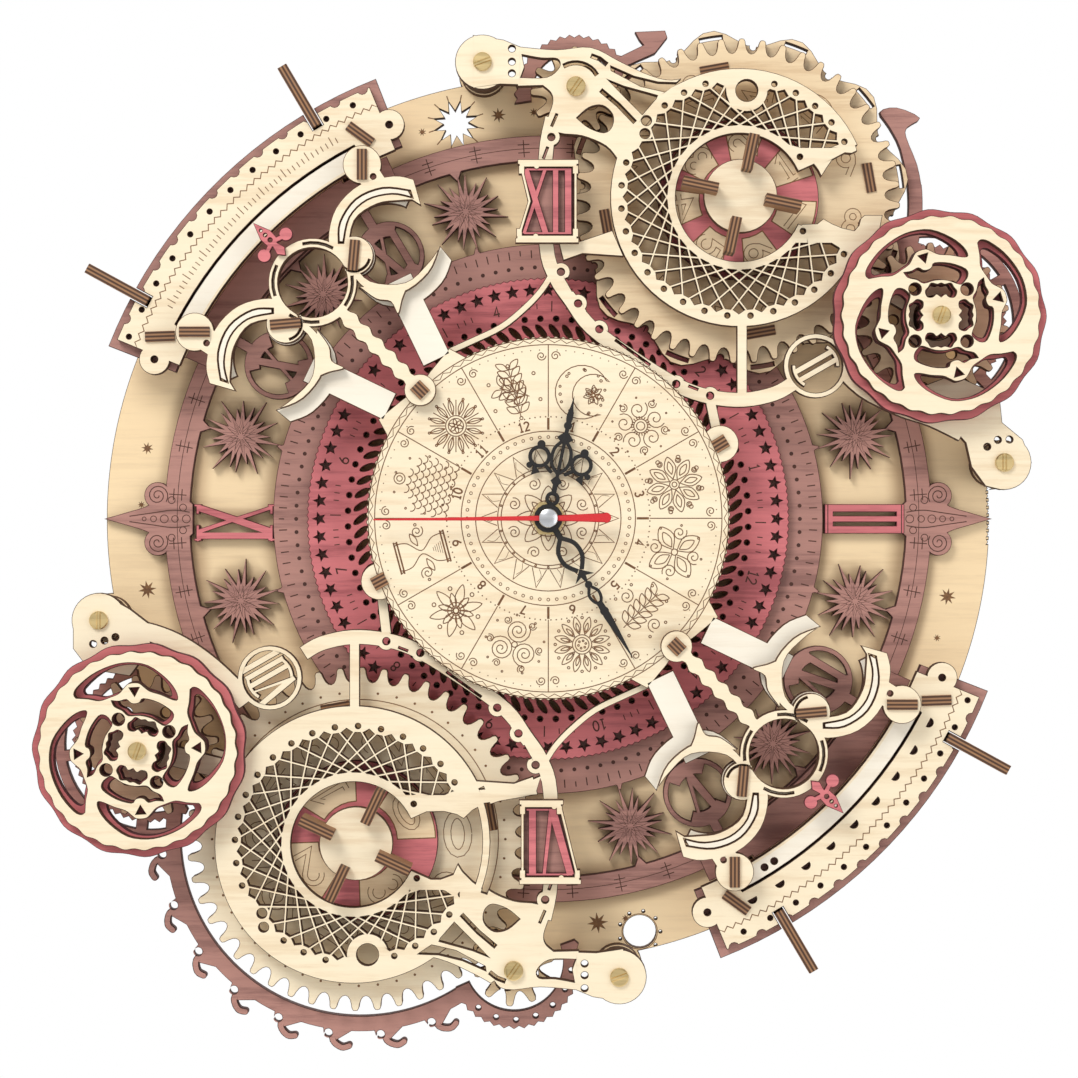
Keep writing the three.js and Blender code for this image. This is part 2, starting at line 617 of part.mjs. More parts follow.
// ---------------------------------------------------------------- the clock
addBackBoard();
addBase();
addNumeralFrame();
addNumeralPlates();
addUpperGuard();
addLowerGuard();
addMonthRing();
addDial();
addMovement();
addHands();
for (const group of GEAR_GROUPS) {
  addMainGear(group);
  addIdler(group);
  addHandwheel(group);
  addFrame(group);
}
addIndicator(UPPER, 'weekday_disc', 'weekday_knob');
addIndicator(LOWER, 'tens_disc', 'tens_knob');
for (const corner of CORNERS) {
  addPlaque(corner);
  corner.pegs.forEach((angle, i) => addPegBoard(`${corner.name}_peg_board_${i + 1}`, angle));
  addBracket(corner);
}

// Face coordinates to the object's own: y becomes +Z and z becomes -Y.
clock.rotation.x = Math.PI / 2;

export default clock;
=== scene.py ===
"""Plywood gear wall clock. Every laser-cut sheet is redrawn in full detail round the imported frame.

Sheets are drawn flat, in face coordinates in millimetres: x to the right, y up, and height out of the wall.
"""
import math

import bpy
from mathutils import Matrix, Vector, geometry


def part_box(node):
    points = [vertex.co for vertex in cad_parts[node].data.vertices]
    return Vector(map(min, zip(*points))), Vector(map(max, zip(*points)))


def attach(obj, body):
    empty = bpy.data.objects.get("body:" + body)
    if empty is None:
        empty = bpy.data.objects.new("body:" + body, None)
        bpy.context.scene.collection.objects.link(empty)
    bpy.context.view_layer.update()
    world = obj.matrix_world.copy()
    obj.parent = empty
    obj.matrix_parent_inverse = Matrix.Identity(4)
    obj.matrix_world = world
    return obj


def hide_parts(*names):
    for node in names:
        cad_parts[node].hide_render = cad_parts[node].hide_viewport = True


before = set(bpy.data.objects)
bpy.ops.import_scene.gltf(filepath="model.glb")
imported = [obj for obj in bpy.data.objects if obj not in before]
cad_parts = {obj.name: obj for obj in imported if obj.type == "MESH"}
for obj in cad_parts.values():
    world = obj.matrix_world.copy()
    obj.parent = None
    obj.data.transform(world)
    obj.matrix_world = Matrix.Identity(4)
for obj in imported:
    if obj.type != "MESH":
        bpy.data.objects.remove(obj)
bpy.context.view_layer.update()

MM = 1000.0
CENTRE = (0.0, 0.0)
FACE_TO_WORLD = Matrix(((1, 0, 0, 0), (0, 0, -1, 0), (0, 1, 0, 0), (0, 0, 0, 1)))
BURNT_LINE = 0.2       # width of the burnt chamfer round every cut edge
FINE_LINE = 0.3        # a laser-engraved line
THIN_EDGE = 0.15       # the chamfer of stamped metal and of upright boards


# ---------------- places, all read from the frame
def heights(node):
    """How far the node's back and front are from the wall."""
    low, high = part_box(node)
    return -high[1] * MM, -low[1] * MM


def middle(node):
    low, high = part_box(node)
    return (low[0] + high[0]) / 2 * MM, (low[2] + high[2]) / 2 * MM


def reach(node):
    """Half the node's width along X."""
    low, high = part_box(node)
    return (high[0] - low[0]) / 2 * MM


# ---------------- flat shapes: a polygon or a nested list of them
def at(radius, degrees, centre=CENTRE):
    turn = math.radians(degrees)
    return centre[0] + radius * math.cos(turn), centre[1] + radius * math.sin(turn)


def arc(centre, radius, start, end, step=None):
    """Points along an arc. A larger radius gets a finer step unless one is given."""
    step = step or (2.5 if radius > 40 else 5 if radius > 12 else 12)
    count = max(2, math.ceil(abs(end - start) / step))
    return [at(radius, start + (end - start) * i / count, centre) for i in range(count + 1)]


def circle(centre, radius, sides=None):
    sides = sides or max(10, min(180, int(14 + radius * 2.4)))
    return [at(radius, 360 * i / sides, centre) for i in range(sides)]


def band(centre, inner, outer, start, end):
    """The part of a ring between two angles."""
    return arc(centre, outer, start, end) + arc(centre, inner, end, start)


def ring(centre, inner, outer, turn=0):
    return [band(centre, inner, outer, turn, turn + 180), band(centre, inner, outer, turn + 180, turn + 360)]


def box(left, bottom, right, top):
    return [(left, bottom), (right, bottom), (right, top), (left, top)]


def polygons(shape):
    """Every polygon in a shape, however deeply it is nested."""
    if isinstance(shape[0][0], (int, float)):
        yield shape
    else:
        for part in shape:
            yield from polygons(part)


def mapped(shape, change):
    return [[change(point) for point in polygon] for polygon in polygons(shape)]


def moved(shape, dx, dy):
    return mapped(shape, lambda p: (p[0] + dx, p[1] + dy))


def scaled(shape, x_scale, y_scale=None):
    y_scale = x_scale if y_scale is None else y_scale
    return mapped(shape, lambda p: (p[0] * x_scale, p[1] * y_scale))


def turned(shape, degrees, centre=CENTRE):
    c, s = math.cos(math.radians(degrees)), math.sin(math.radians(degrees))

    def turn(point):
        x, y = point[0] - centre[0], point[1] - centre[1]
        return centre[0] + x * c - y * s, centre[1] + x * s + y * c

    return mapped(shape, turn)


def turned_point(point, degrees):
    return turned([point], degrees)[0][0]


def around(shape, count, start=0, centre=CENTRE):
    """Evenly turned copies of a shape."""
    return [turned(shape, start + 360 * i / count, centre) for i in range(count)]


def stroke(points, width, closed=False):
    """A line of that width through the points, as one mitred quad for each stretch."""
    count = len(points)
    sides = []
    for i, (x, y) in enumerate(points):
        before = points[i - 1] if closed or i else points[i]
        after = points[(i + 1) % count] if closed or i < count - 1 else points[i]
        first = Vector((x - before[0], y - before[1]))
        second = Vector((after[0] - x, after[1] - y))
        first = (first if first.length else second).normalized()
        second = (second if second.length else first).normalized()
        across = Vector((-first.y - second.y, first.x + second.x))
        across = across.normalized() if across.length > 0.2 else Vector((-first.y, first.x))
        half = width / 2 / max(0.5, across.dot(Vector((-first.y, first.x))))
        sides.append(((x + across.x * half, y + across.y * half), (x - across.x * half, y - across.y * half)))
    last = count if closed else count - 1
    return [[sides[i][1], sides[(i + 1) % count][1], sides[(i + 1) % count][0], sides[i][0]]
            for i in range(last)]


def strip(points, width):
    """A stroke with a round joint at every point."""
    return [stroke(points, width), [circle(point, width / 2, 14) for point in points]]


def curve(points, steps=8):
    """A smooth line through the points."""
    ends = [points[0], *points, points[-1]]
    line = []
    for a, b, c, d in zip(ends, ends[1:], ends[2:], ends[3:]):
        for i in range(steps):
            t = i / steps
            line.append(tuple(
                0.5 * (2 * q + (r - p) * t
                       + (2 * p - 5 * q + 4 * r - s) * t * t
                       + (3 * q - p - 3 * r + s) * t ** 3)
                for p, q, r, s in zip(a, b, c, d)
            ))
    return [*line, points[-1]]


def star(centre, tip, root, rays, turn=0):
    return [at(root if i % 2 else tip, turn + 180 * i / rays, centre) for i in range(2 * rays)]


def wavy(centre, radius, height, waves, turn=0, points_per_wave=8):
    """A closed line whose radius rises and falls."""
    count = waves * points_per_wave
    angles = [360 * i / count for i in range(count)]
    return [
        at(radius + height * math.cos(math.radians((angle - turn) * waves)), angle, centre)
        for angle in angles
    ]


def spiral(centre, inner, outer, start, turns):
    count = int(14 * abs(turns)) + 2
    return [
        at(inner + (outer - inner) * i / count, start + 360 * turns * i / count, centre)
        for i in range(count + 1)
    ]


def saw(centre, inner, outer, teeth, turn=0):
    """A closed ring of small pointed teeth."""
    return [at(outer if i % 2 else inner, turn + 180 * i / teeth, centre) for i in range(2 * teeth)]


def spoke(angle, inner, outer, width, centre=CENTRE):
    """A straight line outwards from one radius to another."""
    return stroke([at(inner, angle, centre), at(outer, angle, centre)], width)


def spots(count, radius, size, start=0, centre=CENTRE, sides=None):
    """Evenly spaced small circles round a centre."""
    return [circle(at(radius, start + 360 * i / count, centre), size, sides) for i in range(count)]


def mirrored(points):
    """A closed outline from its upper half. A point on the axis isn't repeated."""
    return [*points, *((x, -y) for x, y in reversed(points) if y)]


def direction(start, end):
    """The angle from one point to another, in degrees."""
    return math.degrees(math.atan2(end[1] - start[1], end[0] - start[0]))


# ---------------- generic numbers, as strokes in a 0.6 by 1 cell
DIGITS = {
    "0": [[(0.3 + 0.27 * x, 0.5 + 0.5 * y) for x, y in arc(CENTRE, 1, 0, 360, 24)]],
    "1": [[(0.12, 0.78), (0.32, 1), (0.32, 0)], [(0.12, 0), (0.52, 0)]],
    "2": [[*arc((0.29, 0.73), 0.26, 165, -35, 20), (0.03, 0), (0.57, 0)]],
    "3": [arc((0.28, 0.75), 0.24, 150, -80, 20), arc((0.28, 0.27), 0.27, 80, -150, 20)],
    "4": [[(0.42, 0), (0.42, 1), (0.02, 0.3), (0.58, 0.3)]],
    "5": [[(0.52, 1), (0.1, 1), (0.07, 0.55), *arc((0.27, 0.31), 0.3, 100, -145, 20)]],
    "6": [[(0.46, 0.98), (0.12, 0.6), *arc((0.3, 0.29), 0.28, 160, 500, 20)]],
    "7": [[(0.03, 1), (0.56, 1), (0.2, 0)]],
    "8": [arc((0.3, 0.75), 0.23, 0, 360, 24), arc((0.3, 0.27), 0.27, 0, 360, 24)],
    "9": [[(0.16, 0.02), (0.5, 0.42), *arc((0.3, 0.7), 0.28, -20, 320, 20)]],
}
DIGIT_PITCH, DIGIT_GAP = 0.72, 0.12


def number(text, height, line, centre=CENTRE, turn=0):
    """Digits centred on a point, standing up along the turned y axis."""
    width = DIGIT_PITCH * len(text) - DIGIT_GAP
    lines = [
        [((x + DIGIT_PITCH * i - width / 2) * height, (y - 0.5) * height) for x, y in path]
        for i, digit in enumerate(text) for path in DIGITS[digit]
    ]
    return turned(moved([stroke(path, line) for path in lines], *centre), turn, centre)


# ---------------- sheets
ADD, CUT = -1, -2                          # kinds of step
TOP, EDGE, MARK, SECOND_MARK = 0, 1, 2, 3  # material slots. A mark's slot is its kind of step


class Sheet:
    """A sheet drawn in steps. At each place the last step that covers it says whether there is wood."""

    def __init__(self, *shapes):
        self.steps = []
        self.add(*shapes)

    def draw(self, kind, shapes):
        for shape in shapes:
            self.steps += [(kind, polygon) for polygon in polygons(shape)]
        return self

    def add(self, *shapes):
        return self.draw(ADD, shapes)

    def cut(self, *shapes):
        return self.draw(CUT, shapes)

    def mark(self, *shapes, slot=MARK):
        return self.draw(slot, shapes)

    def outline_number(self, text, height, thick, centre, turn):
        """A number engraved as the outline of its thick strokes, which the second mark fills."""
        outline = 0.25
        self.mark(number(text, height, thick, centre, turn))
        return self.mark(number(text, height, thick - 2 * outline, centre, turn), slot=SECOND_MARK)

    def turned(self, degrees):
        """The same sheet turned about the dial's axis."""
        copy = Sheet()
        copy.steps = [(kind, turned(polygon, degrees)[0]) for kind, polygon in self.steps]
        return copy

    def cells(self):
        """The sheet's points, and its triangles with the material slot of each."""
        as_polygons, tolerance = 1, 1e-4
        points, faces = [], []
        for _, polygon in self.steps:
            area = sum(a[0] * b[1] - b[0] * a[1] for a, b in zip(polygon, polygon[1:] + polygon[:1]))
            ordered = polygon if area > 0 else polygon[::-1]
            faces.append(list(range(len(points), len(points) + len(ordered))))
            points += [Vector(point) for point in ordered]
        found = geometry.delaunay_2d_cdt(points, [], faces, as_polygons, tolerance)
        points, _, triangles, _, _, sources = found
        kept = []
        for triangle, source in zip(triangles, sources):
            slot = None
            for kind in (self.steps[i][0] for i in sorted(source)):
                if kind == ADD:
                    slot = TOP
                elif kind == CUT:
                    slot = None
                elif slot is not None:
                    slot = kind
            if slot is not None:
                kept.append((triangle, slot))
        return points, kept


def insets(points, edges, distance):
    """How far each point on the outline moves in, so that the top face ends at the burnt line."""
    normals = {}
    for a, b in edges:
        along = (points[b] - points[a]).normalized()
        for point in (a, b):
            normals.setdefault(point, []).append(Vector((-along.y, along.x)))
    found = {}
    for point, pair in normals.items():
        total = sum(pair, Vector((0, 0)))
        # A point where outlines cross, or the tip of a needle, stays where it is.
        if len(pair) != 2 or total.length < 0.5:
            found[point] = Vector((0, 0))
        else:
            found[point] = total.normalized() * min(2 * distance, 2 * distance / total.length)
    return found


def sheet_mesh(name, sheet, back, front, line):
    """The sheet's front with a burnt chamfer round it, its sides and its back."""
    points, cells = sheet.cells()
    directed = {(t[i], t[(i + 1) % 3]) for t, _ in cells for i in range(3)}
    outline = sorted((a, b) for a, b in directed if (b, a) not in directed)
    used = sorted({point for triangle, _ in cells for point in triangle})
    rim = sorted({point for edge in outline for point in edge})
    inset = insets(points, outline, line)
    top = {point: i for i, point in enumerate(used)}
    shoulder = {point: i + len(used) for i, point in enumerate(rim)}
    bottom = {point: i + len(used) + len(rim) for i, point in enumerate(used)}
    zero = Vector((0, 0))
    vertices = [(*(points[p] + inset.get(p, zero)), front) for p in used]
    vertices += [(*points[p], front - line) for p in rim]
    vertices += [(*points[p], back) for p in used]
    faces = [[top[p] for p in t] for t, _ in cells] + [[bottom[p] for p in reversed(t)] for t, _ in cells]
    slots = [slot for _, slot in cells] + [TOP] * len(cells)
    for a, b in outline:
        faces.append([shoulder[a], shoulder[b], top[b], top[a]])
        faces.append([bottom[a], bottom[b], shoulder[b], shoulder[a]])
        slots += [EDGE, EDGE]
    mesh = bpy.data.meshes.new(name)
    mesh.from_pydata([FACE_TO_WORLD @ Vector(v) / MM for v in vertices], [], faces)
    mesh.polygons.foreach_set("material_index", slots)
    mesh.update()
    return mesh


def add_piece(name, mesh, materials, body, nodes=(), slot=None):
    """A Blender piece that rides a body and stands for the CAD nodes given."""
    piece = bpy.data.objects.new(name, mesh)
    bpy.context.scene.collection.objects.link(piece)
    for material in materials:
        mesh.materials.append(material)
    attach(piece, body)
    if nodes:
        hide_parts(*nodes)
    return piece


def add_sheet(node, sheet, wood, body="root", levels=None, name=None, replace=True, line=BURNT_LINE):
    """A sheet that stands for a CAD node, between that node's back and front unless levels are given."""
    back, front = levels or heights(node)
    name = name or f"{node}_sheet"
    mesh = sheet_mesh(name, sheet, back, front, line)
    return add_piece(name, mesh, wood["materials"], body, (node,) if replace else (), wood["slot"])


# ---------------- materials
class Graph:
    """A material's node tree, with short calls for the nodes that the patterns use."""

    def __init__(self, name):
        self.material = bpy.data.materials.new(name)
        self.material.use_nodes = True
        self.tree = self.material.node_tree
        self.shader = self.tree.nodes["Principled BSDF"]
        self.place = self.node("ShaderNodeTexCoord").outputs["Object"]

    def node(self, kind, inputs=None, **settings):
        node = self.tree.nodes.new(kind)
        for key, value in settings.items():
            setattr(node, key, value)
        for key, value in (inputs or {}).items():
            self.put(node.inputs[key], value)
        return node

    def put(self, socket, value):
        if isinstance(value, bpy.types.NodeSocket):
            self.tree.links.new(value, socket)
        else:
            socket.default_value = value

    def maths(self, operation, *values, clamp=False):
        inputs = dict(enumerate(values))
        return self.node("ShaderNodeMath", inputs, operation=operation, use_clamp=clamp).outputs[0]

    def stretched(self, scale):
        return self.node("ShaderNodeMapping", {"Vector": self.place, "Scale": scale}).outputs[0]

    def noise(self, scale, detail=3.0, stretch=(1, 1, 1), roughness=0.55):
        inputs = {"Vector": self.stretched(stretch), "Scale": scale, "Detail": detail, "Roughness": roughness}
        return self.node("ShaderNodeTexNoise", inputs).outputs["Fac"]

    def ramp(self, factor, *stops):
        """Colours at positions: stops are (position, colour)."""
        node = self.node("ShaderNodeValToRGB", {"Fac": factor})
        elements = node.color_ramp.elements
        while len(elements) < len(stops):
            elements.new(0.5)
        for element, (position, colour) in zip(elements, stops):
            element.position = position
            element.color = (*colour, 1)
        return node.outputs["Color"]

    def fade(self, value, low, high, at_low=0.0, at_high=1.0):
        inputs = {"Value": value, "From Min": low, "From Max": high, "To Min": at_low, "To Max": at_high}
        return self.node("ShaderNodeMapRange", inputs, interpolation_type="SMOOTHSTEP").outputs["Result"]

    def blend(self, factor, a, b, how="MIX"):
        node = self.node("ShaderNodeMix", data_type="RGBA", blend_type=how)
        self.put(node.inputs["Factor"], factor)
        self.put(node.inputs["A"], (*a, 1) if isinstance(a, tuple) else a)
        self.put(node.inputs["B"], (*b, 1) if isinstance(b, tuple) else b)
        return node.outputs["Result"]

    def finish(self, colour, roughness, height=None, strength=0.2, distance=0.0001, **constants):
        self.put(self.shader.inputs["Base Color"], colour)
        self.put(self.shader.inputs["Roughness"], roughness)
        if height is not None:
            inputs = {"Height": height, "Strength": strength, "Distance": distance}
            bump = self.node("ShaderNodeBump", inputs)
            self.put(self.shader.inputs["Normal"], bump.outputs["Normal"])
        for key, value in constants.items():
            self.shader.inputs[key.replace("_", " ")].default_value = value
        return self.material


def mixed(colour, other, share):
    return tuple(a + (b - a) * share for a, b in zip(colour, other))


def wood(name, colour, dark, contrast=0.5, scorch_and_shade=None, streaks=220):
    """Plywood's face: long fine grain along X, soft clouds, and places darkened by scorch and painted shade
    where a pattern says so.
    """
    g = Graph(name)
    fine = g.noise(1.0, 6, (40, 60, streaks * 2.4), 0.7)
    broad = g.noise(1.0, 3, (9, 20, streaks * 0.5))
    clouds = g.noise(38, 3)
    grain = g.maths("ADD", g.maths("MULTIPLY", fine, 0.55), g.maths("MULTIPLY", broad, 0.45))
    low = mixed(colour, dark, contrast)
    face = g.ramp(grain, (0.4, low), (0.5, mixed(colour, dark, contrast * 0.25)), (0.62, colour))
    face = g.blend(g.fade(clouds, 0.35, 0.75, 0, contrast * 0.45), face, low)
    # The pattern's scorch and painted shade blend the face towards the dark colour.
    if scorch_and_shade:
        amount = g.maths("MULTIPLY", scorch_and_shade(g), g.fade(clouds, 0.2, 0.8, 0.75, 1.15), clamp=True)
        face = g.blend(amount, face, dark)
    roughness = g.fade(fine, 0.2, 0.8, 0.58, 0.74)
    return g.finish(face, roughness, fine, 0.12)


def polar_places(g):
    """Distance from the dial axis, and the angle round it, both in metres and radians."""
    xyz = g.node("ShaderNodeSeparateXYZ", {"Vector": g.place})
    x, z = xyz.outputs["X"], xyz.outputs["Z"]
    radius = g.maths("SQRT", g.maths("ADD", g.maths("MULTIPLY", x, x), g.maths("MULTIPLY", z, z)))
    return radius, g.maths("ARCTAN2", z, x)


# The numeral frame's two rings, as inner and outer radius, and the suns that stand between them.
INNER_RING, OUTER_RING = (60, 82.1), (107, 114.5)
SUN_RADIUS, SUN_COUNT, FIRST_SUN = 95.0, 12, 15.0


def base_scorch(g):
    """Soft brown halos round the suns and along the rings, part airbrushed scorch and part painted shade where
    the suns and rings stand above the base. Distances are in metres.
    """
    radius, angle = polar_places(g)
    sector = 2 * math.pi / SUN_COUNT
    folded = g.maths("SUBTRACT", g.maths("FLOORED_MODULO", angle, sector), sector / 2)
    along = g.maths("SUBTRACT", g.maths("MULTIPLY", radius, g.maths("COSINE", folded)), SUN_RADIUS / MM)
    across = g.maths("MULTIPLY", radius, g.maths("SINE", folded))
    squares = g.maths("ADD", g.maths("MULTIPLY", along, along), g.maths("MULTIPLY", across, across))
    # Painted shade mixed with the scorch: the base darkens round each sun and beside each ring, which stand
    # above it.
    halo = g.fade(g.maths("SQRT", squares), 0.0045, 0.0145, 0.7, 0)
    inner_shade = g.fade(radius, 0.0815, 0.0885, 0.6, 0)
    outer_shade = g.fade(radius, 0.1005, 0.1065, 0, 0.55)
    inside = g.maths("MULTIPLY", outer_shade, g.maths("LESS_THAN", radius, 0.1072))
    outside = g.fade(radius, 0.1145, 0.119, 0.42, 0)
    beyond = g.maths("MULTIPLY", outside, g.maths("GREATER_THAN", radius, 0.11))
    panel = g.maths("MULTIPLY", g.maths("PINGPONG", g.maths("ADD", angle, math.pi), sector / 2), radius)
    seam = g.maths("MULTIPLY", g.fade(panel, 0.0, 0.0045, 0.5, 0), g.maths("LESS_THAN", radius, 0.107))
    total = g.maths("MAXIMUM", halo, g.maths("MAXIMUM", inner_shade, inside))
    return g.maths("MAXIMUM", total, g.maths("MAXIMUM", beyond, seam))


def cut_edge(name, dark, light, board=3.0):
    """Burnt plywood seen on its cut side: thin layers along the board's thickness."""
    g = Graph(name)
    depth = g.node("ShaderNodeSeparateXYZ", {"Vector": g.place}).outputs["Y"]
    layers = g.maths("PINGPONG", g.maths("MULTIPLY", depth, MM), board / 6)
    char = g.noise(900, 3)
    shade = g.maths("ADD", g.fade(layers, 0.05, board / 8, 0, 0.6), g.fade(char, 0.3, 0.8, 0, 0.4))
    return g.finish(g.ramp(shade, (0.0, dark), (1.0, light)), g.fade(char, 0.3, 0.7, 0.7, 0.9), char, 0.2)


def engraved(name, colour, dark):
    """Wood that the laser has burnt brown."""
    g = Graph(name)
    char = g.noise(1400, 2)
    return g.finish(g.ramp(char, (0.3, dark), (0.7, colour)), g.fade(char, 0.3, 0.7, 0.75, 0.9), char, 0.3)


def metal(name, colour, roughness, brushed=600):
    g = Graph(name)
    lines = g.noise(1.0, 3, (40, 40, brushed))
    face = g.ramp(lines, (0.3, mixed(colour, (0, 0, 0), 0.25)), (0.7, colour))
    return g.finish(face, g.fade(lines, 0.3, 0.7, roughness * 0.8, roughness * 1.2), lines, 0.08,
                    Metallic=1.0)


def painted(name, colour, roughness, metallic=0.0):
    """Paint or moulded plastic with a fine orange-peel surface."""
    g = Graph(name)
    peel = g.noise(2600, 2)
    face = g.ramp(peel, (0.3, mixed(colour, (0, 0, 0), 0.2)), (0.7, colour))
    return g.finish(face, g.fade(peel, 0.3, 0.7, roughness * 0.85, roughness * 1.1), peel, 0.1,
                    Metallic=metallic)


def battery_shell():
    """A printed battery can: steel at both ends, dark below and copper above."""
    g = Graph("Battery shell")
    low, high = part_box("battery")
    share = g.fade(g.node("ShaderNodeSeparateXYZ", {"Vector": g.place}).outputs["Z"], low[2], high[2], 0, 1)
    steel, dark, copper = (0.6, 0.6, 0.6), (0.03, 0.035, 0.045), (0.62, 0.3, 0.13)
    bands = ((0.03, steel), (0.035, dark), (0.68, dark), (0.685, copper), (0.96, copper), (0.965, steel))
    face = g.ramp(share, *bands)
    brushed = g.noise(1.0, 2, (900, 900, 60))
    return g.finish(face, g.fade(brushed, 0.3, 0.7, 0.25, 0.35), brushed, 0.05, Metallic=0.5)


def ply_end():
    """The end of a plywood board: dark and light layers across its thickness, which lies along its own Y."""
    g = Graph("Ply end")
    across = g.node("ShaderNodeSeparateXYZ", {"Vector": g.place}).outputs["Y"]
    layers = g.maths("PINGPONG", g.maths("MULTIPLY", across, MM), 0.55)
    streak = g.noise(1.0, 3, (300, 900, 300))
    shade = g.maths("ADD", g.fade(layers, 0.12, 0.42, 0, 0.7), g.maths("MULTIPLY", streak, 0.3))
    face = g.ramp(shade, (0.1, (0.045, 0.018, 0.008)), (0.55, (0.16, 0.07, 0.03)), (0.95, (0.36, 0.19, 0.09)))
    return g.finish(face, g.fade(streak, 0.3, 0.7, 0.6, 0.85), streak, 0.25)


TAN_EDGE = cut_edge("Burnt tan edge", (0.03, 0.012, 0.005), (0.13, 0.058, 0.024))
MAUVE_EDGE = cut_edge("Burnt mauve edge", (0.03, 0.011, 0.008), (0.12, 0.042, 0.032))
PINK_EDGE = cut_edge("Burnt pink edge", (0.03, 0.007, 0.007), (0.15, 0.026, 0.03))
BROWN_MARK = engraved("Brown engraving", (0.24, 0.115, 0.045), (0.12, 0.052, 0.02))
DARK_MARK = engraved("Dark engraving", (0.09, 0.032, 0.02), (0.04, 0.014, 0.01))


def kind_of_wood(slot, face, edge, *marks):
    return {"slot": slot, "materials": [face, edge, *marks]}


CREAM_FACE = wood("Cream birch", (0.88, 0.76, 0.55), (0.62, 0.42, 0.22), 0.42)
WHITE_FACE = wood("Whitened birch", (0.87, 0.80, 0.67), (0.70, 0.58, 0.42), 0.32)
TAN_FACE = wood("Tan birch", (0.84, 0.66, 0.42), (0.50, 0.30, 0.14), 0.42)
# The base's face: airbrushed scorch and painted shade round the suns and along the rings.
BASE_FACE = wood("Scorched and shaded birch", (0.87, 0.665, 0.40), (0.27, 0.125, 0.045), 0.16, base_scorch)
MAUVE_FACE = wood("Mauve ply", (0.47, 0.235, 0.19), (0.17, 0.072, 0.06), 0.7)
PINK_FACE = wood("Pink ply", (0.68, 0.19, 0.20), (0.25, 0.045, 0.055), 0.7)
RED_FACE = wood("Red ply", (0.58, 0.15, 0.15), (0.27, 0.05, 0.055), 0.6)
DIAL_MARK = engraved("Dial engraving", (0.20, 0.09, 0.035), (0.09, 0.038, 0.014))
CREAM = kind_of_wood("cream_birch", CREAM_FACE, TAN_EDGE, BROWN_MARK)
DIAL_WOOD = kind_of_wood("cream_birch", CREAM_FACE, TAN_EDGE, DIAL_MARK)
PLAQUE_WOOD = kind_of_wood("cream_birch", CREAM_FACE, TAN_EDGE, BROWN_MARK, WHITE_FACE)
CREAM_GEAR = kind_of_wood("cream_birch", CREAM_FACE, TAN_EDGE, BROWN_MARK, CREAM_FACE)
WHITE = kind_of_wood("white_birch", WHITE_FACE, TAN_EDGE, BROWN_MARK)
TAN = kind_of_wood("birch", TAN_FACE, TAN_EDGE, BROWN_MARK)
TAN_GEAR = kind_of_wood("birch", TAN_FACE, TAN_EDGE, BROWN_MARK, TAN_FACE)
BASE = kind_of_wood("birch", BASE_FACE, TAN_EDGE, BROWN_MARK)
MAUVE = kind_of_wood("mauve_ply", MAUVE_FACE, MAUVE_EDGE, DARK_MARK)
PINK = kind_of_wood("pink_ply", PINK_FACE, PINK_EDGE, DARK_MARK)
PANELLED_PINK = kind_of_wood("pink_ply", PINK_FACE, PINK_EDGE, BROWN_MARK, TAN_FACE)
RED = kind_of_wood("red_ply", RED_FACE, PINK_EDGE, DARK_MARK)
BRASS = metal("Brass", (0.82, 0.62, 0.30), 0.3)
BLACK_METAL = painted("Black metal", (0.018, 0.016, 0.015), 0.42, 0.3)
RED_METAL = painted("Red metal", (0.66, 0.02, 0.025), 0.38)
PLASTIC = painted("Black plastic", (0.03, 0.03, 0.032), 0.5)
SHELL = battery_shell()
STEEL = metal("Steel", (0.75, 0.76, 0.78), 0.25)
PLY_END = ply_end()


# ---------------- turned pieces and ply blocks
def turned_mesh(name, profile, centre, sides=40):
    """A profile of (radius, height) turned about an axis that stands out of the wall."""
    vertices, faces = [], []
    for radius, height in profile:
        for i in range(sides):
            x, y = at(radius, 360 * i / sides, centre)
            vertices.append(FACE_TO_WORLD @ Vector((x, y, height)) / MM)
    rows = len(profile)
    for row in range(rows - 1):
        for i in range(sides):
            j = (i + 1) % sides
            a, b = row * sides, (row + 1) * sides
            faces.append([a + i, a + j, b + j, b + i])
    faces.append(list(reversed(range(sides))))
    faces.append([(rows - 1) * sides + i for i in range(sides)])
    mesh = bpy.data.meshes.new(name)
    mesh.from_pydata(vertices, [], faces)
    mesh.polygons.foreach_set("use_smooth", [True] * len(faces))
    mesh.set_sharp_from_angle(angle=math.radians(35))
    return mesh


def add_screw_head(name, centre, radius, bottom, top, slot_turn):
    """A slotted cheese head with a rounded rim."""
    floor, rim, half_slot = top - 0.55, 0.3, 0.38
    profile = [(radius - 0.1, bottom), (radius, bottom + 0.1), (radius, floor), (radius, floor + 0.01)]
    add_piece(name, turned_mesh(name, profile, centre), [BRASS], "root", slot="brass")
    slot = box(-radius - 1, -half_slot, radius + 1, half_slot)
    face = Sheet(circle(centre, radius, 40)).cut(turned(moved(slot, *centre), slot_turn, centre))
    mesh = sheet_mesh(f"{name}_face", face, floor + 0.01, top, rim)
    add_piece(f"{name}_face", mesh, [BRASS, BRASS], "root", slot="brass")


def add_shouldered_screw(screw, centre, shoulder, shank, end, head, slot_turn):
    """A brass screw whose thick lower part carries a wheel. The head is (radius, bottom, top)."""
    base, step = 6.4, 16.2
    profile = [(shoulder - 0.1, base), (shoulder, base + 0.1), (shoulder, step), (shank, step), (shank, end)]
    mesh = turned_mesh(f"{screw}_shank", profile, centre)
    add_piece(f"{screw}_shank", mesh, [BRASS], "root", (screw,), "brass")
    add_screw_head(f"{screw}_head", centre, *head, slot_turn)


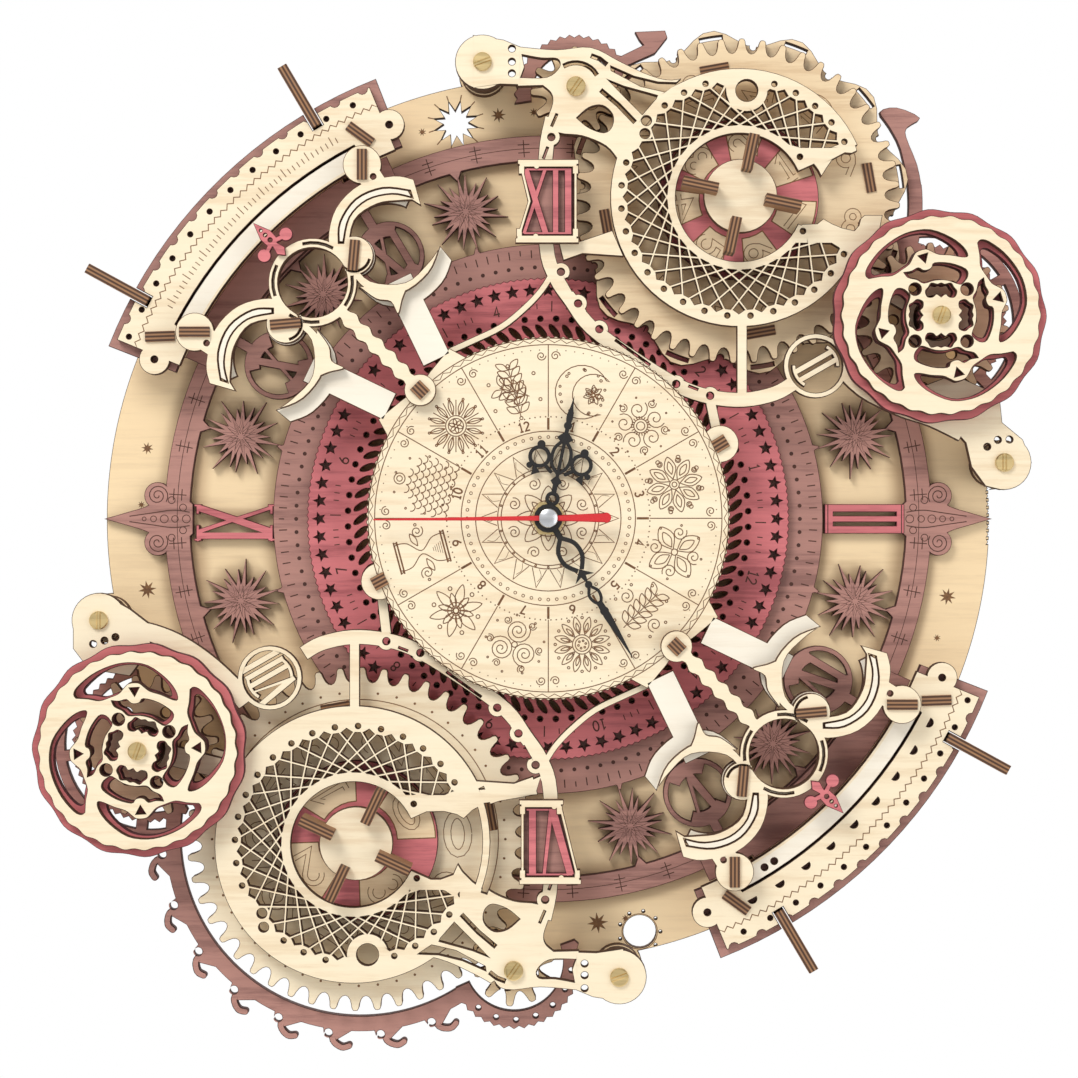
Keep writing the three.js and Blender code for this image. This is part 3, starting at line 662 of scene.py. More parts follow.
def add_board(name, profile, centre, turn, body="root", nodes=(), thickness=3.0):
    """An upright board whose layers show on its edges. Its profile is (distance along it, height)."""
    mesh = sheet_mesh(name, Sheet(profile), -thickness / 2, thickness / 2, THIN_EDGE)
    board = add_piece(name, mesh, [PLY_END, PLY_END], body, nodes, "birch")
    place = Matrix.Translation((centre[0] / MM, centre[1] / MM, 0))
    board.matrix_world = FACE_TO_WORLD @ place @ Matrix.Rotation(math.radians(turn), 4, "Z")


# ---------------- back, base, rings and numerals
BATTERY_WINDOW = box(6, -30, 30, 30)


def add_back_board():
    radius = reach("back_board")
    hang, head, slot, rise = 88, 4.5, 2.3, 10
    keyhole = [circle((0, hang), head), box(-slot, hang, slot, hang + rise), circle((0, hang + rise), slot)]
    sheet = Sheet(circle(CENTRE, radius)).cut(BATTERY_WINDOW, keyhole)
    sheet.mark(ring(CENTRE, radius - 4, radius - 3.6), ring(CENTRE, 60, 60.4))
    add_sheet("back_board", sheet, MAUVE)


# Stars engraved on the base, as (angle, radius of the tips).
BASE_STARS = (
    (156, 3.4), (170, 1.9), (178, 1.2), (-170, 2.8), (-156, 2), (-163, 1.3), (24, 3.2), (31, 1.5), (13, 2),
    (-11, 2.6), (-24, 1.6), (-17, 1.2), (97, 2.3), (113, 2.6), (108, 1.3), (-66, 2.2), (-83, 3.2), (-79, 1.3),
    (-60, 1.5), (92, 1.4),
)


def add_base():
    radius = 132.3
    arm_ends = [end for group in GROUPS for end in group["arm_ends"]]
    sheet = Sheet(circle(CENTRE, radius, 300), [circle(end, 7.5) for end in arm_ends])
    sheet.add([circle(group["handwheel"], 10) for group in GROUPS])
    sheet.add([circle(group["idler"], 8) for group in GROUPS])
    notches = [star(at(radius + 0.4, angle), 1.3, 0.5, 5, angle) for angle in range(-3, 5)]
    sheet.cut(notches, BATTERY_WINDOW)
    sheet.mark([star(at(122, angle), size, size * 0.42, 8, angle) for angle, size in BASE_STARS])
    small_sun, small_moon = (-27.6, 118.7), (27.5, -123.7)
    sheet.cut([at(6.9 if i % 2 else 3.6, 15 * i + 4, small_sun) for i in range(24)])
    sheet.mark([spoke(30 * i + 19, 6.9, 8.6, 0.35, small_sun) for i in range(12)])
    sheet.cut(circle(small_moon, 4.9), spots(9, 6.2, 0.45, 0, small_moon))
    sheet.mark(ring(small_moon, 5.2, 5.45))
    add_sheet("base_disc", sheet, BASE)


def sun(centre, turn):
    """A sun of long thin rays of three lengths, the longest towards the rings."""
    lengths = (13.4, 8.8, 11.8, 8.2, 12.8, 9.6, 10.8, 8.4, 12.2, 9.2, 11.4)
    count = 2 * len(lengths)
    points = []
    for i in range(count):
        angle = turn + 360 * i / count
        lean = 3 if i % 2 else -2
        points += [at(lengths[i % len(lengths)], angle + lean, centre), at(5.0, angle + 180 / count, centre)]
    return points


def sun_engraving(centre, turn):
    """Fine scratches from the middle of a sun along its rays."""
    stars = [(6.4, 2.6, 13, 4), (4.6, 1.6, 11, 15), (2.9, 0.9, 9, 30)]
    return [
        stroke(star(centre, tip, root, rays, turn + lean), 0.17, closed=True)
        for tip, root, rays, lean in stars
    ]


ROMAN_GAP = 3.4


def roman(text, height, thick, thin):
    """Roman letters as lines (points, width) round the origin. V and X have a thick and a thin stroke."""
    half = height / 2
    lines, x = [], 0.0
    for letter in text:
        if letter == "I":
            lines.append(([(x, -half), (x, half)], thick))
            x += ROMAN_GAP
        elif letter == "V":
            lines += [([(x - 0.6, half), (x + 2.4, -half)], thick),
                      ([(x + 5.4, half), (x + 2.4, -half)], thin)]
            x += ROMAN_GAP + 4.6
        else:
            lines += [([(x - 0.6, half), (x + 4.6, -half)], thick),
                      ([(x + 4.6, half), (x - 0.6, -half)], thin)]
            x += ROMAN_GAP + 4.2
    xs = [point[0] for points, _ in lines for point in points]
    shift = -(min(xs) + max(xs)) / 2
    return [([(a + shift, b) for a, b in points], width) for points, width in lines]


def add_numeral_circle(sheet, centre, text):
    """A ring with a thin Roman numeral inside, held at its top and bottom, and a bridge outwards."""
    outward = direction(CENTRE, centre)
    turn = outward - 90
    radius, line = 10.3, 1.5
    sheet.add(circle(centre, radius))
    sheet.cut(circle(centre, radius - line))
    for points, width in roman(text, 15, 2.4, 1.2):
        sheet.add(moved(turned(stroke(points, width), turn), *centre))
    caps = [band(centre, radius - 4.6, radius - line + 0.2, turn + 90 + half - 42, turn + 90 + half + 42)
            for half in (0, 180)]
    sheet.add(caps)
    sheet.add(spoke(outward, radius - 1, radius + 6.5, 3, centre))


def compass_shape(side):
    """The ornament at the end of the horizontal axis."""
    outline = mirrored(curve([(106, 4.4), (110, 7.4), (116, 6.4), (120, 3.8), (126, 1.9), (132.6, 0)], 5))
    scrolls = [circle((116.6, y), 4.0) for y in (7, -7)] + [circle((112.4, y), 2.6) for y in (4.6, -4.6)]
    return scaled([outline, scrolls], side, 1)


def compass_engraving(side):
    curls = [stroke(spiral((116.6, 7 * up), 0.4, 3.2, 180, 2.1 * up), FINE_LINE) for up in (1, -1)]
    curls += [ring((x, y), 0.9, 1.15) for x, y in ((109, 3.4), (109, -3.4), (112.4, 5.6), (112.4, -5.6))]
    lines = [stroke(curve([(107, y), (112, y * 1.3), (118, y * 0.9), (125, y * 0.4)]), FINE_LINE)
             for y in (2, -2)]
    row = ((108, 1.3), (111.4, 1.1), (114.6, 1.3), (117.8, 1), (120.6, 0.7))
    dots = [ring((x, 0), size - 0.25, size) for x, size in row]
    return scaled([curls, lines, dots], side, 1)


def add_numeral_frame():
    sheet = Sheet(ring(CENTRE, *OUTER_RING), ring(CENTRE, *INNER_RING))
    suns = [(at(SUN_RADIUS, FIRST_SUN + 30 * i), FIRST_SUN + 30 * i) for i in range(SUN_COUNT)]
    for centre, angle in suns:
        sheet.add(sun(centre, angle))
        sheet.add([at(81, angle - 1.1), at(84, angle), at(81, angle + 1.1)])
        sheet.add([at(108, angle - 1.3), at(104.2, angle), at(108, angle + 1.3)])
    numerals = {"X": (-80.4, 46), "XI": (-47.2, 78.6), "IV": (80.7, -48.2), "V": (44.7, -81.8)}
    for text, centre in numerals.items():
        add_numeral_circle(sheet, centre, text)
    for side in (1, -1):
        sheet.add(compass_shape(side)).mark(compass_engraving(side))
    sheet.mark([sun_engraving(centre, angle) for centre, angle in suns])
    for i in range(48):
        angle = 3.75 + 7.5 * i
        bars = [stroke([at(radius, angle - 0.9), at(radius, angle + 0.9)], FINE_LINE)
                for radius in (109.6, 112)]
        sheet.mark(spoke(angle, 108.2, 113.4, FINE_LINE), bars)
    ticks = [spoke(2.4 * i, 78 + 0.8 * (i % 5 == 0), 80.4, 0.35) for i in range(150)]
    sheet.mark(ring(CENTRE, 110.65, 110.85), spots(120, 75.2, 0.62, sides=10), ticks)
    add_sheet("numeral_frame", sheet, MAUVE)


def add_side_numerals():
    """Three and nine: pink bars between two rails, with a dark slot beside each bar."""
    inner, outer, half = 82.6, 106.6, 4.4
    three = Sheet(box(inner, -half, outer, half))
    three.cut([box(85.2, y - 0.55, 104, y + 0.55) for y in (-1.5, 1.5)])
    three.mark([box(83.4, -half, 83.7, half), box(105.4, -half, 105.7, half)])
    add_sheet("numeral_three", three, PINK)
    left, right, low, high = -104.6, -82.6, -6.8, 4.4
    nine = Sheet(stroke([(left, high - 1), (right, low + 3)], 2.2),
                 stroke([(left, low + 3), (right, high - 1)], 1.3))
    nine.add(box(left, low + 0.7, right, low + 2.7))
    for end in (left, right):
        nine.add(box(end - 0.5, low, end + 0.5, low + 5), box(end - 0.5, high - 3, end + 0.5, high))
        nine.add(box(end - 1.1, low + 0.2, end + 1.1, low + 1), box(end - 1.1, high - 0.8, end + 1.1, high))
    add_sheet("numeral_nine", nine, PINK)


def add_front_numeral(node, strokes, left_edge, upside_down):
    """Twelve or six: pink strokes inside a thin cream outline, between two cream rails with serifs.

    Strokes are (top, bottom, width) and the left edge's points are (along, up), in shares of half the plate.
    """
    low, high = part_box(node)
    centre, half_width, half = middle(node), reach(node), (high[2] - low[2]) / 2 * MM
    turn = 180 if upside_down else 0
    side = half_width - 1.0
    rail = 1.5

    def placed(shape):
        return moved(turned(shape, turn), *centre)

    left = [(x * side, y * (half - 1.8)) for x, y in left_edge]
    outline = [*left, (side, 1.8 - half), (side, half - 1.8)]
    cream = Sheet(placed(stroke(outline, 0.95, closed=True)))
    for y, x in ((1, left[0][0]), (-1, left[-1][0])):
        edge, inside, serif = y * half, y * (half - rail), y * (half - 3)
        bar = [(x - 1, edge), (half_width, edge), (half_width, inside), (x - 1, inside)]
        serifs = [box(end - 0.9, serif - 1.3, end + 0.9, serif + 1.3) for end in (x + 0.2, side)]
        cream.add(placed(bar), placed(serifs), placed(circle((x * 0.4, y * (half - 2)), 0.9, 12)))
    add_sheet(node, cream, CREAM)
    bars = [stroke([(x * side, half - 2.6), (end * side, 2.6 - half)], width) for x, end, width in strokes]
    ties = [box(x + 1.4, y - 0.45, side - 1, y + 0.45)
            for x, y in ((left[0][0], half - 2.9), (left[-1][0], 2.9 - half))]
    back, front = heights(node)
    inlay_levels, back_levels = (back + 1, front - 0.3), (back, back + 0.8)
    add_sheet(node, Sheet(placed(bars), placed(ties)), PINK, "root", inlay_levels, f"{node}_inlay", False)
    add_sheet(node, Sheet(placed(outline)), MAUVE, "root", back_levels, f"{node}_back", False)


def add_month_ring():
    """Stars, leaves and dots cut through the ring, with the months as numbers between them."""
    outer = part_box("month_ring")[1][0] * MM
    inner = 50.0
    sheet = Sheet(saw(CENTRE, outer - 0.5, outer, 220)).cut(circle(CENTRE, inner))
    sheet.cut([star(at(68, 4.5 * i), 1.85, 0.8, 5, 4.5 * i) for i in range(80)])
    leaf = curve([(52.9, -1.5), (55, -1.4), (57.2, 0.2), (57.7, 1.6), (56.4, 1.5), (54.6, 0.4)], 3)
    sheet.cut(around(leaf[:-1], 90))
    sheet.cut(spots(80, 59.5, 0.82, 2.2, sides=10))
    for i in range(12):
        start = 30 * i
        sheet.mark(number(str(i + 1), 3.0, 0.45, at(63.2, start + 14), start - 76),
                   spoke(start - 1, 61.6, 64.8, 0.35))
        sheet.mark([spoke(start + turn, 62.4, 64, 0.3) for turn in (3, 5, 7, 21, 23, 25)])
    add_sheet("month_ring", sheet, PINK, "month_ring")


# ---------------- dial
def petals(count, inner, outer, width, turn=0):
    """Pointed loops round a centre."""
    loop = curve([(inner, 0), ((inner + outer) / 2, width / 2), (outer, 0), ((inner + outer) / 2, -width / 2),
                  (inner, 0)], 4)
    return around(stroke(loop, FINE_LINE), count, turn)


def rays(count, inner, outer, turn=0):
    return around(stroke([(inner, 0), (outer, 0)], FINE_LINE), count, turn)


def loops(count, radius, size, turn=0):
    return [ring(at(radius, turn + 360 * i / count), size - FINE_LINE, size) for i in range(count)]


def whorls(count, radius, size, turn=0, turns=1.6):
    line = spiral((radius, 0), 0.3, size, 90, turns)
    return around(stroke(line, FINE_LINE), count, turn)


def circles(*radii):
    return [ring(CENTRE, radius - FINE_LINE / 2, radius + FINE_LINE / 2) for radius in radii]


def scales(rows, size):
    """Overlapping arches, row below row."""
    found = []
    for row in range(rows):
        for i in range(-row - 1, row + 2):
            x = (i + 0.5 * (row % 2)) * size * 2
            if abs(x) < 7.6:
                found.append(stroke(arc((x, 4.5 - row * size * 1.3), size, 0, -180, 36), FINE_LINE))
    return found


def moon(outer, shift):
    """A crescent with a dotted belly."""
    edge = arc(CENTRE, outer, 40, 320, 15)
    hollow = arc((shift, 0), outer * 0.78, 305, 55, 15)
    return [stroke(edge + hollow, FINE_LINE, closed=True), loops(9, outer * 0.85, 0.45, 180)]


def hourglass(height, width):
    top, bottom = height / 2, -height / 2
    side = curve([(width / 2, top), (width / 2 - 0.6, top * 0.55), (0.5, 0), (width / 2 - 0.6, bottom * 0.55),
                  (width / 2, bottom)], 5)
    return [stroke(side, FINE_LINE), stroke(scaled([side], -1, 1)[0], FINE_LINE),
            [stroke([(-width / 2 - 0.8, y), (width / 2 + 0.8, y)], 0.5)
             for y in (top, bottom, top + 0.9, bottom - 0.9)],
            [stroke([(-1.8 + 0.3 * i, bottom + 0.7 + 0.6 * i), (1.8 - 0.3 * i, bottom + 0.7 + 0.6 * i)], 0.18)
             for i in range(5)]]


def spray(leaves, length):
    """A stem with pairs of leaves."""
    leaf = petals(1, 0.3, 4.2, 1.9)
    found = [stroke([(0, -length / 2), (0, length / 2)], FINE_LINE)]
    for i in range(leaves):
        y = -length / 2 + length * (i + 0.5) / leaves
        found += [moved(turned(leaf, 38), 0, y), moved(turned(leaf, 142), 0, y)]
    return found


# Twelve ornaments, one for each sector of the dial.
ORNAMENTS = [
    [petals(8, 1.6, 8.2, 3.4), petals(8, 3, 6.8, 1.6), circles(1.4, 0.7), loops(8, 8, 0.7, 22.5),
     whorls(8, 7.2, 0.9, 22.5)],
    [whorls(5, 4.8, 2.9), whorls(5, 7.2, 1.3, 36), circles(1.2, 2.0), rays(20, 2.1, 2.9),
     loops(10, 8.3, 0.35)],
    [moon(7.8, 3.4), moved(petals(7, 0.3, 2.9, 1.2), 3.4, 0), moved(whorls(4, 1.6, 1.0), 3.4, 0),
     loops(7, 6.4, 0.5, 200)],
    [spray(7, 15), turned(spray(4, 9), 60), loops(6, 7.8, 0.6, 30)],
    [rays(24, 3.2, 7.6), petals(12, 3.2, 7.8, 1.5), circles(3.0, 2.2), petals(6, 0.3, 2.1, 1.0),
     loops(12, 8, 0.45)],
    [scales(9, 1.2), moved(circles(0.8, 1.6), 0, 6.8), loops(9, 8.4, 0.4, 200)],
    [hourglass(13, 8), whorls(2, 6.2, 1.9), turned(petals(2, 2.2, 6.4, 1.6), 20), loops(6, 8.2, 0.5)],
    [petals(6, 0.6, 7.8, 2.6), petals(6, 0.6, 5.2, 1.8, 30), loops(6, 6.6, 0.7, 30), circles(1.4, 2.4)],
    [whorls(3, 4.1, 3.7, 30, 2.6), whorls(6, 7.4, 1.2, 0), loops(9, 8.6, 0.4), circles(0.8)],
    [petals(12, 3.0, 8.2, 2.1), petals(12, 3.6, 6.4, 0.9), circles(2.8, 2.0), loops(6, 1.1, 0.4),
     loops(12, 7.8, 0.5, 15)],
    [turned(spray(6, 14), 90), whorls(2, 5.8, 2.2, 90), loops(8, 8, 0.5, 20)],
    [petals(4, 0.8, 8.4, 4.8, 45), petals(4, 1.6, 6.6, 2.4, 45), whorls(4, 5.8, 2.2), circles(0.9),
     loops(8, 8, 0.4)],
]


def dial_engraving():
    border = [stroke(saw(CENTRE, 51.0, 52.0, 90), 0.22, closed=True), circles(50.4, 52.3)]
    sectors = rays(12, 29.4, 50.4)
    ticks = around(stroke([(25.7, 0), (29.2, 0)], 0.7), 12)
    beads = spots(120, 29.5, 0.24, 1.5, sides=6)
    links = [ring(at(23.6, 6 * i), 0.28, 0.52) for i in range(60)]
    middle_rings = [circles(21.1, 25.3), spots(120, 48.9, 0.2, sides=6)]
    curls = [whorls(1, 47.2, 1.4, 30 * i + side * 2.5, 1.5 * side) for i in range(12) for side in (1, -1)]
    labels = [number(str(12 - i), 2.5, 0.5, at(27.4, 105 + 30 * i), 15 + 30 * i) for i in range(12)]
    art = []
    for i, ornament in enumerate(ORNAMENTS):
        angle = 15 + 30 * i
        art.append(moved(turned(ornament, angle - 90), *at(37.9, angle)))
    flames = [stroke([at(15, 20 * i - 8), at(20.4, 20 * i), at(15, 20 * i + 8)], 0.28) for i in range(18)]
    veins = [stroke(curve([at(15, 20 * i), at(17, 20 * i + 3), at(18.8, 20 * i)], 4), 0.16)
             for i in range(18)]
    rosette = [circles(14.7, 13.7), petals(8, 1.4, 9.4, 4.2), whorls(8, 10.7, 1.9, 22.5),
               petals(8, 1.4, 6.6, 2.0),
               loops(24, 14.2, 0.4), circles(5.2)]
    return [border, sectors, ticks, beads, links, middle_rings, curls, labels, art, flames, veins, rosette]


def add_dial():
    radius = reach("dial")
    sheet = Sheet(saw(CENTRE, radius - 0.45, radius, 150), [circle(group["ear"], 5.4) for group in GROUPS])
    tab = [(47, -17), (55.2, -14.6), (54.4, -6), (53.4, 0), (54.4, 6), (55.2, 14.6), (47, 17)]
    sheet.add([turned(tab, corner["middle"]) for corner in CORNERS])
    sheet.cut(circle(CENTRE, 4.2))
    sheet.mark(dial_engraving())
    add_sheet("dial", sheet, DIAL_WOOD)


# ---------------- hands
def add_hands():
    nose = curve([(27.4, 0.5), (30, 1.0), (33, 0.45), (36.1, 0.05)], 3)
    hour = Sheet(ring(CENTRE, 2.7, 4.1), ring((5.8, 0), 1.0, 2.1), strip([(7.4, 0), (10, 0)], 1.5))
    hour.add([(9, 0), (10.9, 1.7), (12.8, 0), (10.9, -1.7)], circle((27.4, 0), 1.2), box(23, -0.6, 28, 0.6))
    for side in (1, -1):
        almond = curve([(13, 0), (15.8, 2.4), (20, 2.5), (23, 0.4)], 5)
        hour.add(scaled(stroke(almond, 1.0), 1, side), ring((17, side * 6.2), 2.2, 3.3))
        hour.add(strip([(13.4, side * 2.2), (14.6, side * 3.8)], 1.1), circle((20.6, side * 6.4), 1.2))
        hour.add([(12.6, side * 5.2), (14.6, side * 7.4), (11.2, side * 7.6)], circle((14, side * 8.6), 0.9))
    hour.add(box(12, -0.5, 23, 0.5), [(21.4, 0), (23.6, 2.4), (26, 0), (23.6, -2.4)])
    hour.add(mirrored(nose))
    add_hand("hour_hand", hour, 78)

    minute = Sheet(ring(CENTRE, 1.7, 4.0), box(3.6, -0.9, 7.5, 0.9), circle((31.3, 0), 1.3),
                   circle((22.4, 0), 1.1))
    drop = curve([(7, 0.3), (10, 2.7), (14, 2.9), (17.6, 0.6)], 6)
    small = curve([(23.4, 0.4), (25.2, 1.5), (27.2, 1.3), (28.8, 0.3)], 5)
    for side in (1, -1):
        minute.add(scaled(stroke(drop, 1.3), 1, side), scaled(stroke(small, 0.9), 1, side))
        minute.add([(17.2, 0), (20.4, side * 3.2), (19.6, side * 0.8), (22.6, 0)])
    minute.add(mirrored([(28, 0.9), (33, 1.1), (38, 0.8), (48.2, 0)]))
    add_hand("minute_hand", minute, -58.8)

    needle = mirrored([(-16.6, 1.4), (-10, 1.1), (0, 0.75), (50.4, 0.22)])
    second = Sheet(needle, circle((-16.6, 0), 1.5), circle(CENTRE, 2.6))
    add_hand("second_hand", second, 180.5)
    top = heights("second_hand")[1]
    profile = [(2.5, top - 1.7), (2.8, top - 1.3), (2.6, top - 0.5), (1.6, top - 0.1), (0.1, top)]
    dome = turned_mesh("second_hand_cap", profile, CENTRE)
    add_piece("second_hand_cap", dome, [STEEL], "second_hand", slot="brass")


# Each hand's tube radius, tube bottom, blade thickness, how far the blade is below the top, paint and slot.
HANDS = {
    "hour_hand": (2.6, 28, 0.8, 0.0, BLACK_METAL, "black_metal"),
    "minute_hand": (1.65, 28.4, 0.7, 0.0, BLACK_METAL, "black_metal"),
    "second_hand": (0.5, 28.8, 0.5, 1.5, RED_METAL, "red_metal"),
}


def add_hand(node, sheet, pointing):
    """A hand stamped from thin metal, on the tube that it rides on."""
    radius, low, thickness, drop, paint, slot = HANDS[node]
    front = heights(node)[1] - drop
    mesh = sheet_mesh(f"{node}_blade", sheet.turned(pointing), front - thickness, front, THIN_EDGE)
    add_piece(f"{node}_blade", mesh, [paint, paint], node, (node,), slot)
    profile = [(radius - 0.1, low), (radius, low), (radius, front - 0.05), (radius - 0.1, front)]
    add_piece(f"{node}_tube", turned_mesh(f"{node}_tube", profile, CENTRE, 28), [BRASS], node, slot=slot)


# ---------------- gears
def gear(centre, teeth, pitch, turn):
    """Narrow teeth with round-bottomed gaps. Half a tooth is (share of the pitch, distance from its circle)."""
    half = [(0.0, 1.8), (0.1, 1.7), (0.165, 1.0), (0.2, -0.2), (0.27, -1.5), (0.37, -2.3), (0.5, -2.6)]
    tooth = [(-across, out) for across, out in reversed(half[1:])] + half[:-1]
    return [
        at(pitch + out, turn + 360 * (i + across) / teeth, centre)
        for i in range(teeth)
        for across, out in tooth
    ]


def mesh_turn(group, partner, teeth):
    """The turn that lays a driven wheel's gap against the main gear's teeth."""
    axis = group["axis"]
    offset = (direction(axis, group["handwheel"]) - direction(axis, partner)) % (360 / GEAR_TEETH)
    return direction(partner, axis) - offset * GEAR_TEETH / teeth + 180 / teeth


GEAR_TEETH = 48
AXLE_HOLE = 3.4

# The two gear groups. The lower one is the upper one turned half round, with lengths and places of its own.
# "pinion" and "idler_gear" are (teeth, pitch radius), "crescent" is (hole radius, outer radius), "numbers" is
# (height, stroke, radius), and "labels" are (text, angle). "pair", the two larger holes in the crescent, and
# "lips", the two sides of its mouth, are (radius, angle) about its axis. The other places are (x, y).
UPPER = {
    "name": "upper", "sign": 1, "main": "month_gear", "wheel": "month_wheel", "wood": TAN_GEAR,
    "pitch": 46.08, "pinion": (22, 21.12), "idler_gear": (12, 11.52), "ear": (49.9, 21.6),
    "labels": [(str((7 + i) % 12 + 1), -11 + 30 * i) for i in range(12)], "numbers": (7.5, 1.7, 34.2),
    "wheel_turn": 0, "fin_turn": 78,
    "crescent": (18.7, 37.7), "crescent_shift": (0, 0), "first_boss": 28, "eye": (57.9, 124.8),
    "pair": [(35.2, 140.5), (33.3, 146)],
    "numeral": "II", "numeral_place": (78, 44.5),
    "arm": [(84, 46), (92, 38), (103, 32.4), (112, 29.4), (121, 25)],
    "paddle": [(100, 35), (108.8, 28.4), (117.6, 26.6), (121.8, 22), (123.4, 15), (127.5, 9.4), (132, 8.3),
               (141, 16.3), (138.4, 23), (132.4, 28), (131.6, 36), (118, 42)],
    "arm_holes": [(128, 20.9), (131.1, 22.9), (134.5, 23)],
    "lips": [
        [(18.7, 36), (20.2, 29.5), (23.5, 26), (24.2, 19.4), (24.6, 14.3), (26.8, 18.6), (29.3, 22.2),
         (33.3, 22.9), (35.1, 21.4), (36.9, 21.6), (37.4, 27.5), (30, 29)],
        [(18.7, -30), (19.9, -23), (23.9, -18.6), (25.2, -14.1), (28, -15.8), (31.2, -16.5), (34.8, -16.1),
         (35.7, -13.2), (35.8, -9.9), (36.8, -8), (42, -7), (42.5, -20), (37.4, -27.5), (30, -26.6)],
    ],
}
LOWER = {
    "name": "lower", "sign": -1, "main": "date_gear", "wheel": "date_wheel", "wood": CREAM_GEAR,
    "pitch": 48.86, "pinion": (19, 19.34), "idler_gear": (10, 10.18), "ear": (-49, -18.3),
    "labels": [(str(i), 3 + 36 * i) for i in range(10)], "numbers": (11.5, 2.4, 29.2),
    "wheel_turn": -13.7, "fin_turn": 65,
    "crescent": (18.3, 40.5), "crescent_shift": (-1.0, -0.7), "first_boss": 31.6, "eye": (-52.7, -127.2),
    "pair": [(33.4, 216.9), (35.6, 222.6)],
    "numeral": "VIII", "numeral_place": (-81.2, -46.5),
    "arm": [(88, 54), (92, 49), (99, 42.5), (107, 37), (115, 33.6), (126, 31)],
    "paddle": [(116, 31), (122, 26.4), (128, 23), (138.6, 29.4), (138.6, 38), (134, 44), (122, 46),
               (116, 38)],
    "arm_holes": [(132.7, 36.6), (129.4, 35.6), (126.2, 34.6)],
    "lips": [
        [(18.3, 36), (21.4, 26.2), (28.1, 20), (31.3, 16.2), (33, 13.1), (36.1, 16), (39.6, 17.1), (40.3, 27),
         (30, 29)],
        [(18.3, -34), (22.6, -26.4), (27.3, -21.6), (30.3, -16.7), (30.9, -10.4), (32.8, -13.9),
         (36.3, -17.2), (39.8, -19), (40.3, -28), (30, -27)],
    ],
}
GROUPS = (UPPER, LOWER)
for group in GROUPS:
    name = group["name"]
    group["axis"] = middle(f"{name}_gear_axle")
    group["handwheel"] = middle(f"{name}_wheel_screw")
    group["idler"] = middle(f"{name}_idler_screw")
    group["arm_ends"] = [middle(f"{name}_{end}_riser") for end in ("inner", "outer")]


def add_main_gear(group):
    axis, node, body = group["axis"], group["main"], group["wheel"]
    sheet = Sheet(gear(axis, GEAR_TEETH, group["pitch"], direction(axis, group["handwheel"])))
    sheet.cut(circle(axis, AXLE_HOLE))
    height, thick, radius = group["numbers"]
    for text, angle in group["labels"]:
        sheet.outline_number(text, height, thick, at(radius, angle, axis), angle)
    if group is LOWER:
        sheet.mark(ring(axis, 41.0, 41.3), spots(GEAR_TEETH, 43.2, 0.4, 0, axis, 8))
    add_sheet(node, sheet, group["wood"], body)
    back, front = heights(node)
    tenon = box(-4.3, back, 4.3, front + 0.5)
    for i in range(4):
        angle = 10 + 90 * i
        add_board(f"{node}_tenon_{i}", tenon, at(39.3, angle, axis), angle + 90, body)
    if group is UPPER:
        add_month_cam()


def add_month_cam():
    """The wavy disc behind the month gear."""
    axis, first = UPPER["axis"], 99
    cam = Sheet(wavy(axis, 48.8, 2.5, 12, first)).cut(circle(axis, AXLE_HOLE))
    cam.cut([band(axis, 48.4, 49.6, first + 30 * i - 4, first + 30 * i + 4) for i in range(12)])
    cam.cut(spots(12, 46.2, 1.0, first - 15, axis))
    add_sheet("month_cam", cam, TAN, UPPER["wheel"])


def add_idler(group):
    name, centre = group["name"], group["idler"]
    teeth, pitch = group["idler_gear"]
    sheet = Sheet(gear(centre, teeth, pitch, mesh_turn(group, centre, teeth)))
    kidney = curve([(3.3, 0.6), (5.6, 0.2), (7.2, 1.8), (6.6, 4.4), (4.2, 5.6), (3.8, 3.8), (4.4, 2.2),
                    (3.3, 0.6)], 4)
    sheet.cut(circle(centre, 1.9), moved(around(kidney[:-1], 4, 30), *centre))
    add_sheet(f"{name}_idler", sheet, TAN, f"{name}_idler")
    screw = f"{name}_idler_screw"
    add_shouldered_screw(screw, centre, 3.4, 1.6, 27.4, (2.8, 27.05, heights(screw)[1]), 55)


# Windows of the handwheel's face as (radius, angle), each repeated four times.
SWIRL_WINDOW = (
    (23.3, 153), (20.6, 147), (18.2, 141), (17.4, 131), (17.4, 122), (18.6, 116), (19.6, 111), (19.6, 103),
    (18.6, 98), (17.6, 92), (17.6, 81), (17.9, 70), (18.8, 66), (20.6, 72), (22.5, 83), (24.7, 97),
    (25.5, 110), (25.6, 122), (25.5, 135), (25.2, 147), (24.5, 152),
)
ARC_WINDOW = (
    (16.2, 131), (15.2, 124), (15.1, 116), (13.9, 112), (13.5, 106.7), (13.9, 101), (15.1, 97), (15.1, 80),
    (15.0, 62), (13.6, 56), (11.4, 56), (10.4, 60), (10.3, 80), (10.3, 100), (10.5, 118), (12.4, 124),
    (14.4, 131),
)
STAR_WINDOW = (
    (5.3, 0), (6.3, 12), (5.8, 24), (6.6, 36), (8.2, 33), (8.8, 24), (9.6, 17), (8.9, 7), (9.2, 0), (8.9, -7),
    (9.6, -17), (8.8, -24), (8.2, -33), (6.6, -36), (5.8, -24), (6.3, -12),
)


def wheel_windows(centre, turn, grow):
    """Swirls, arcs and stars. A positive growth widens them, as on the rim's lesser bars."""
    found = []
    for outline in (SWIRL_WINDOW, ARC_WINDOW, STAR_WINDOW):
        mid_radius = sum(radius for radius, _ in outline) / len(outline)
        mid_angle = sum(angle for _, angle in outline) / len(outline)
        heart = at(mid_radius, mid_angle)
        points = curve([at(*pair) for pair in (*outline, outline[0])], 3)[:-1]
        sized = [(x + (x - heart[0]) * grow / 6, y + (y - heart[1]) * grow / 6) for x, y in points]
        found += around(sized, 4, turn)
    return moved(found, *centre)


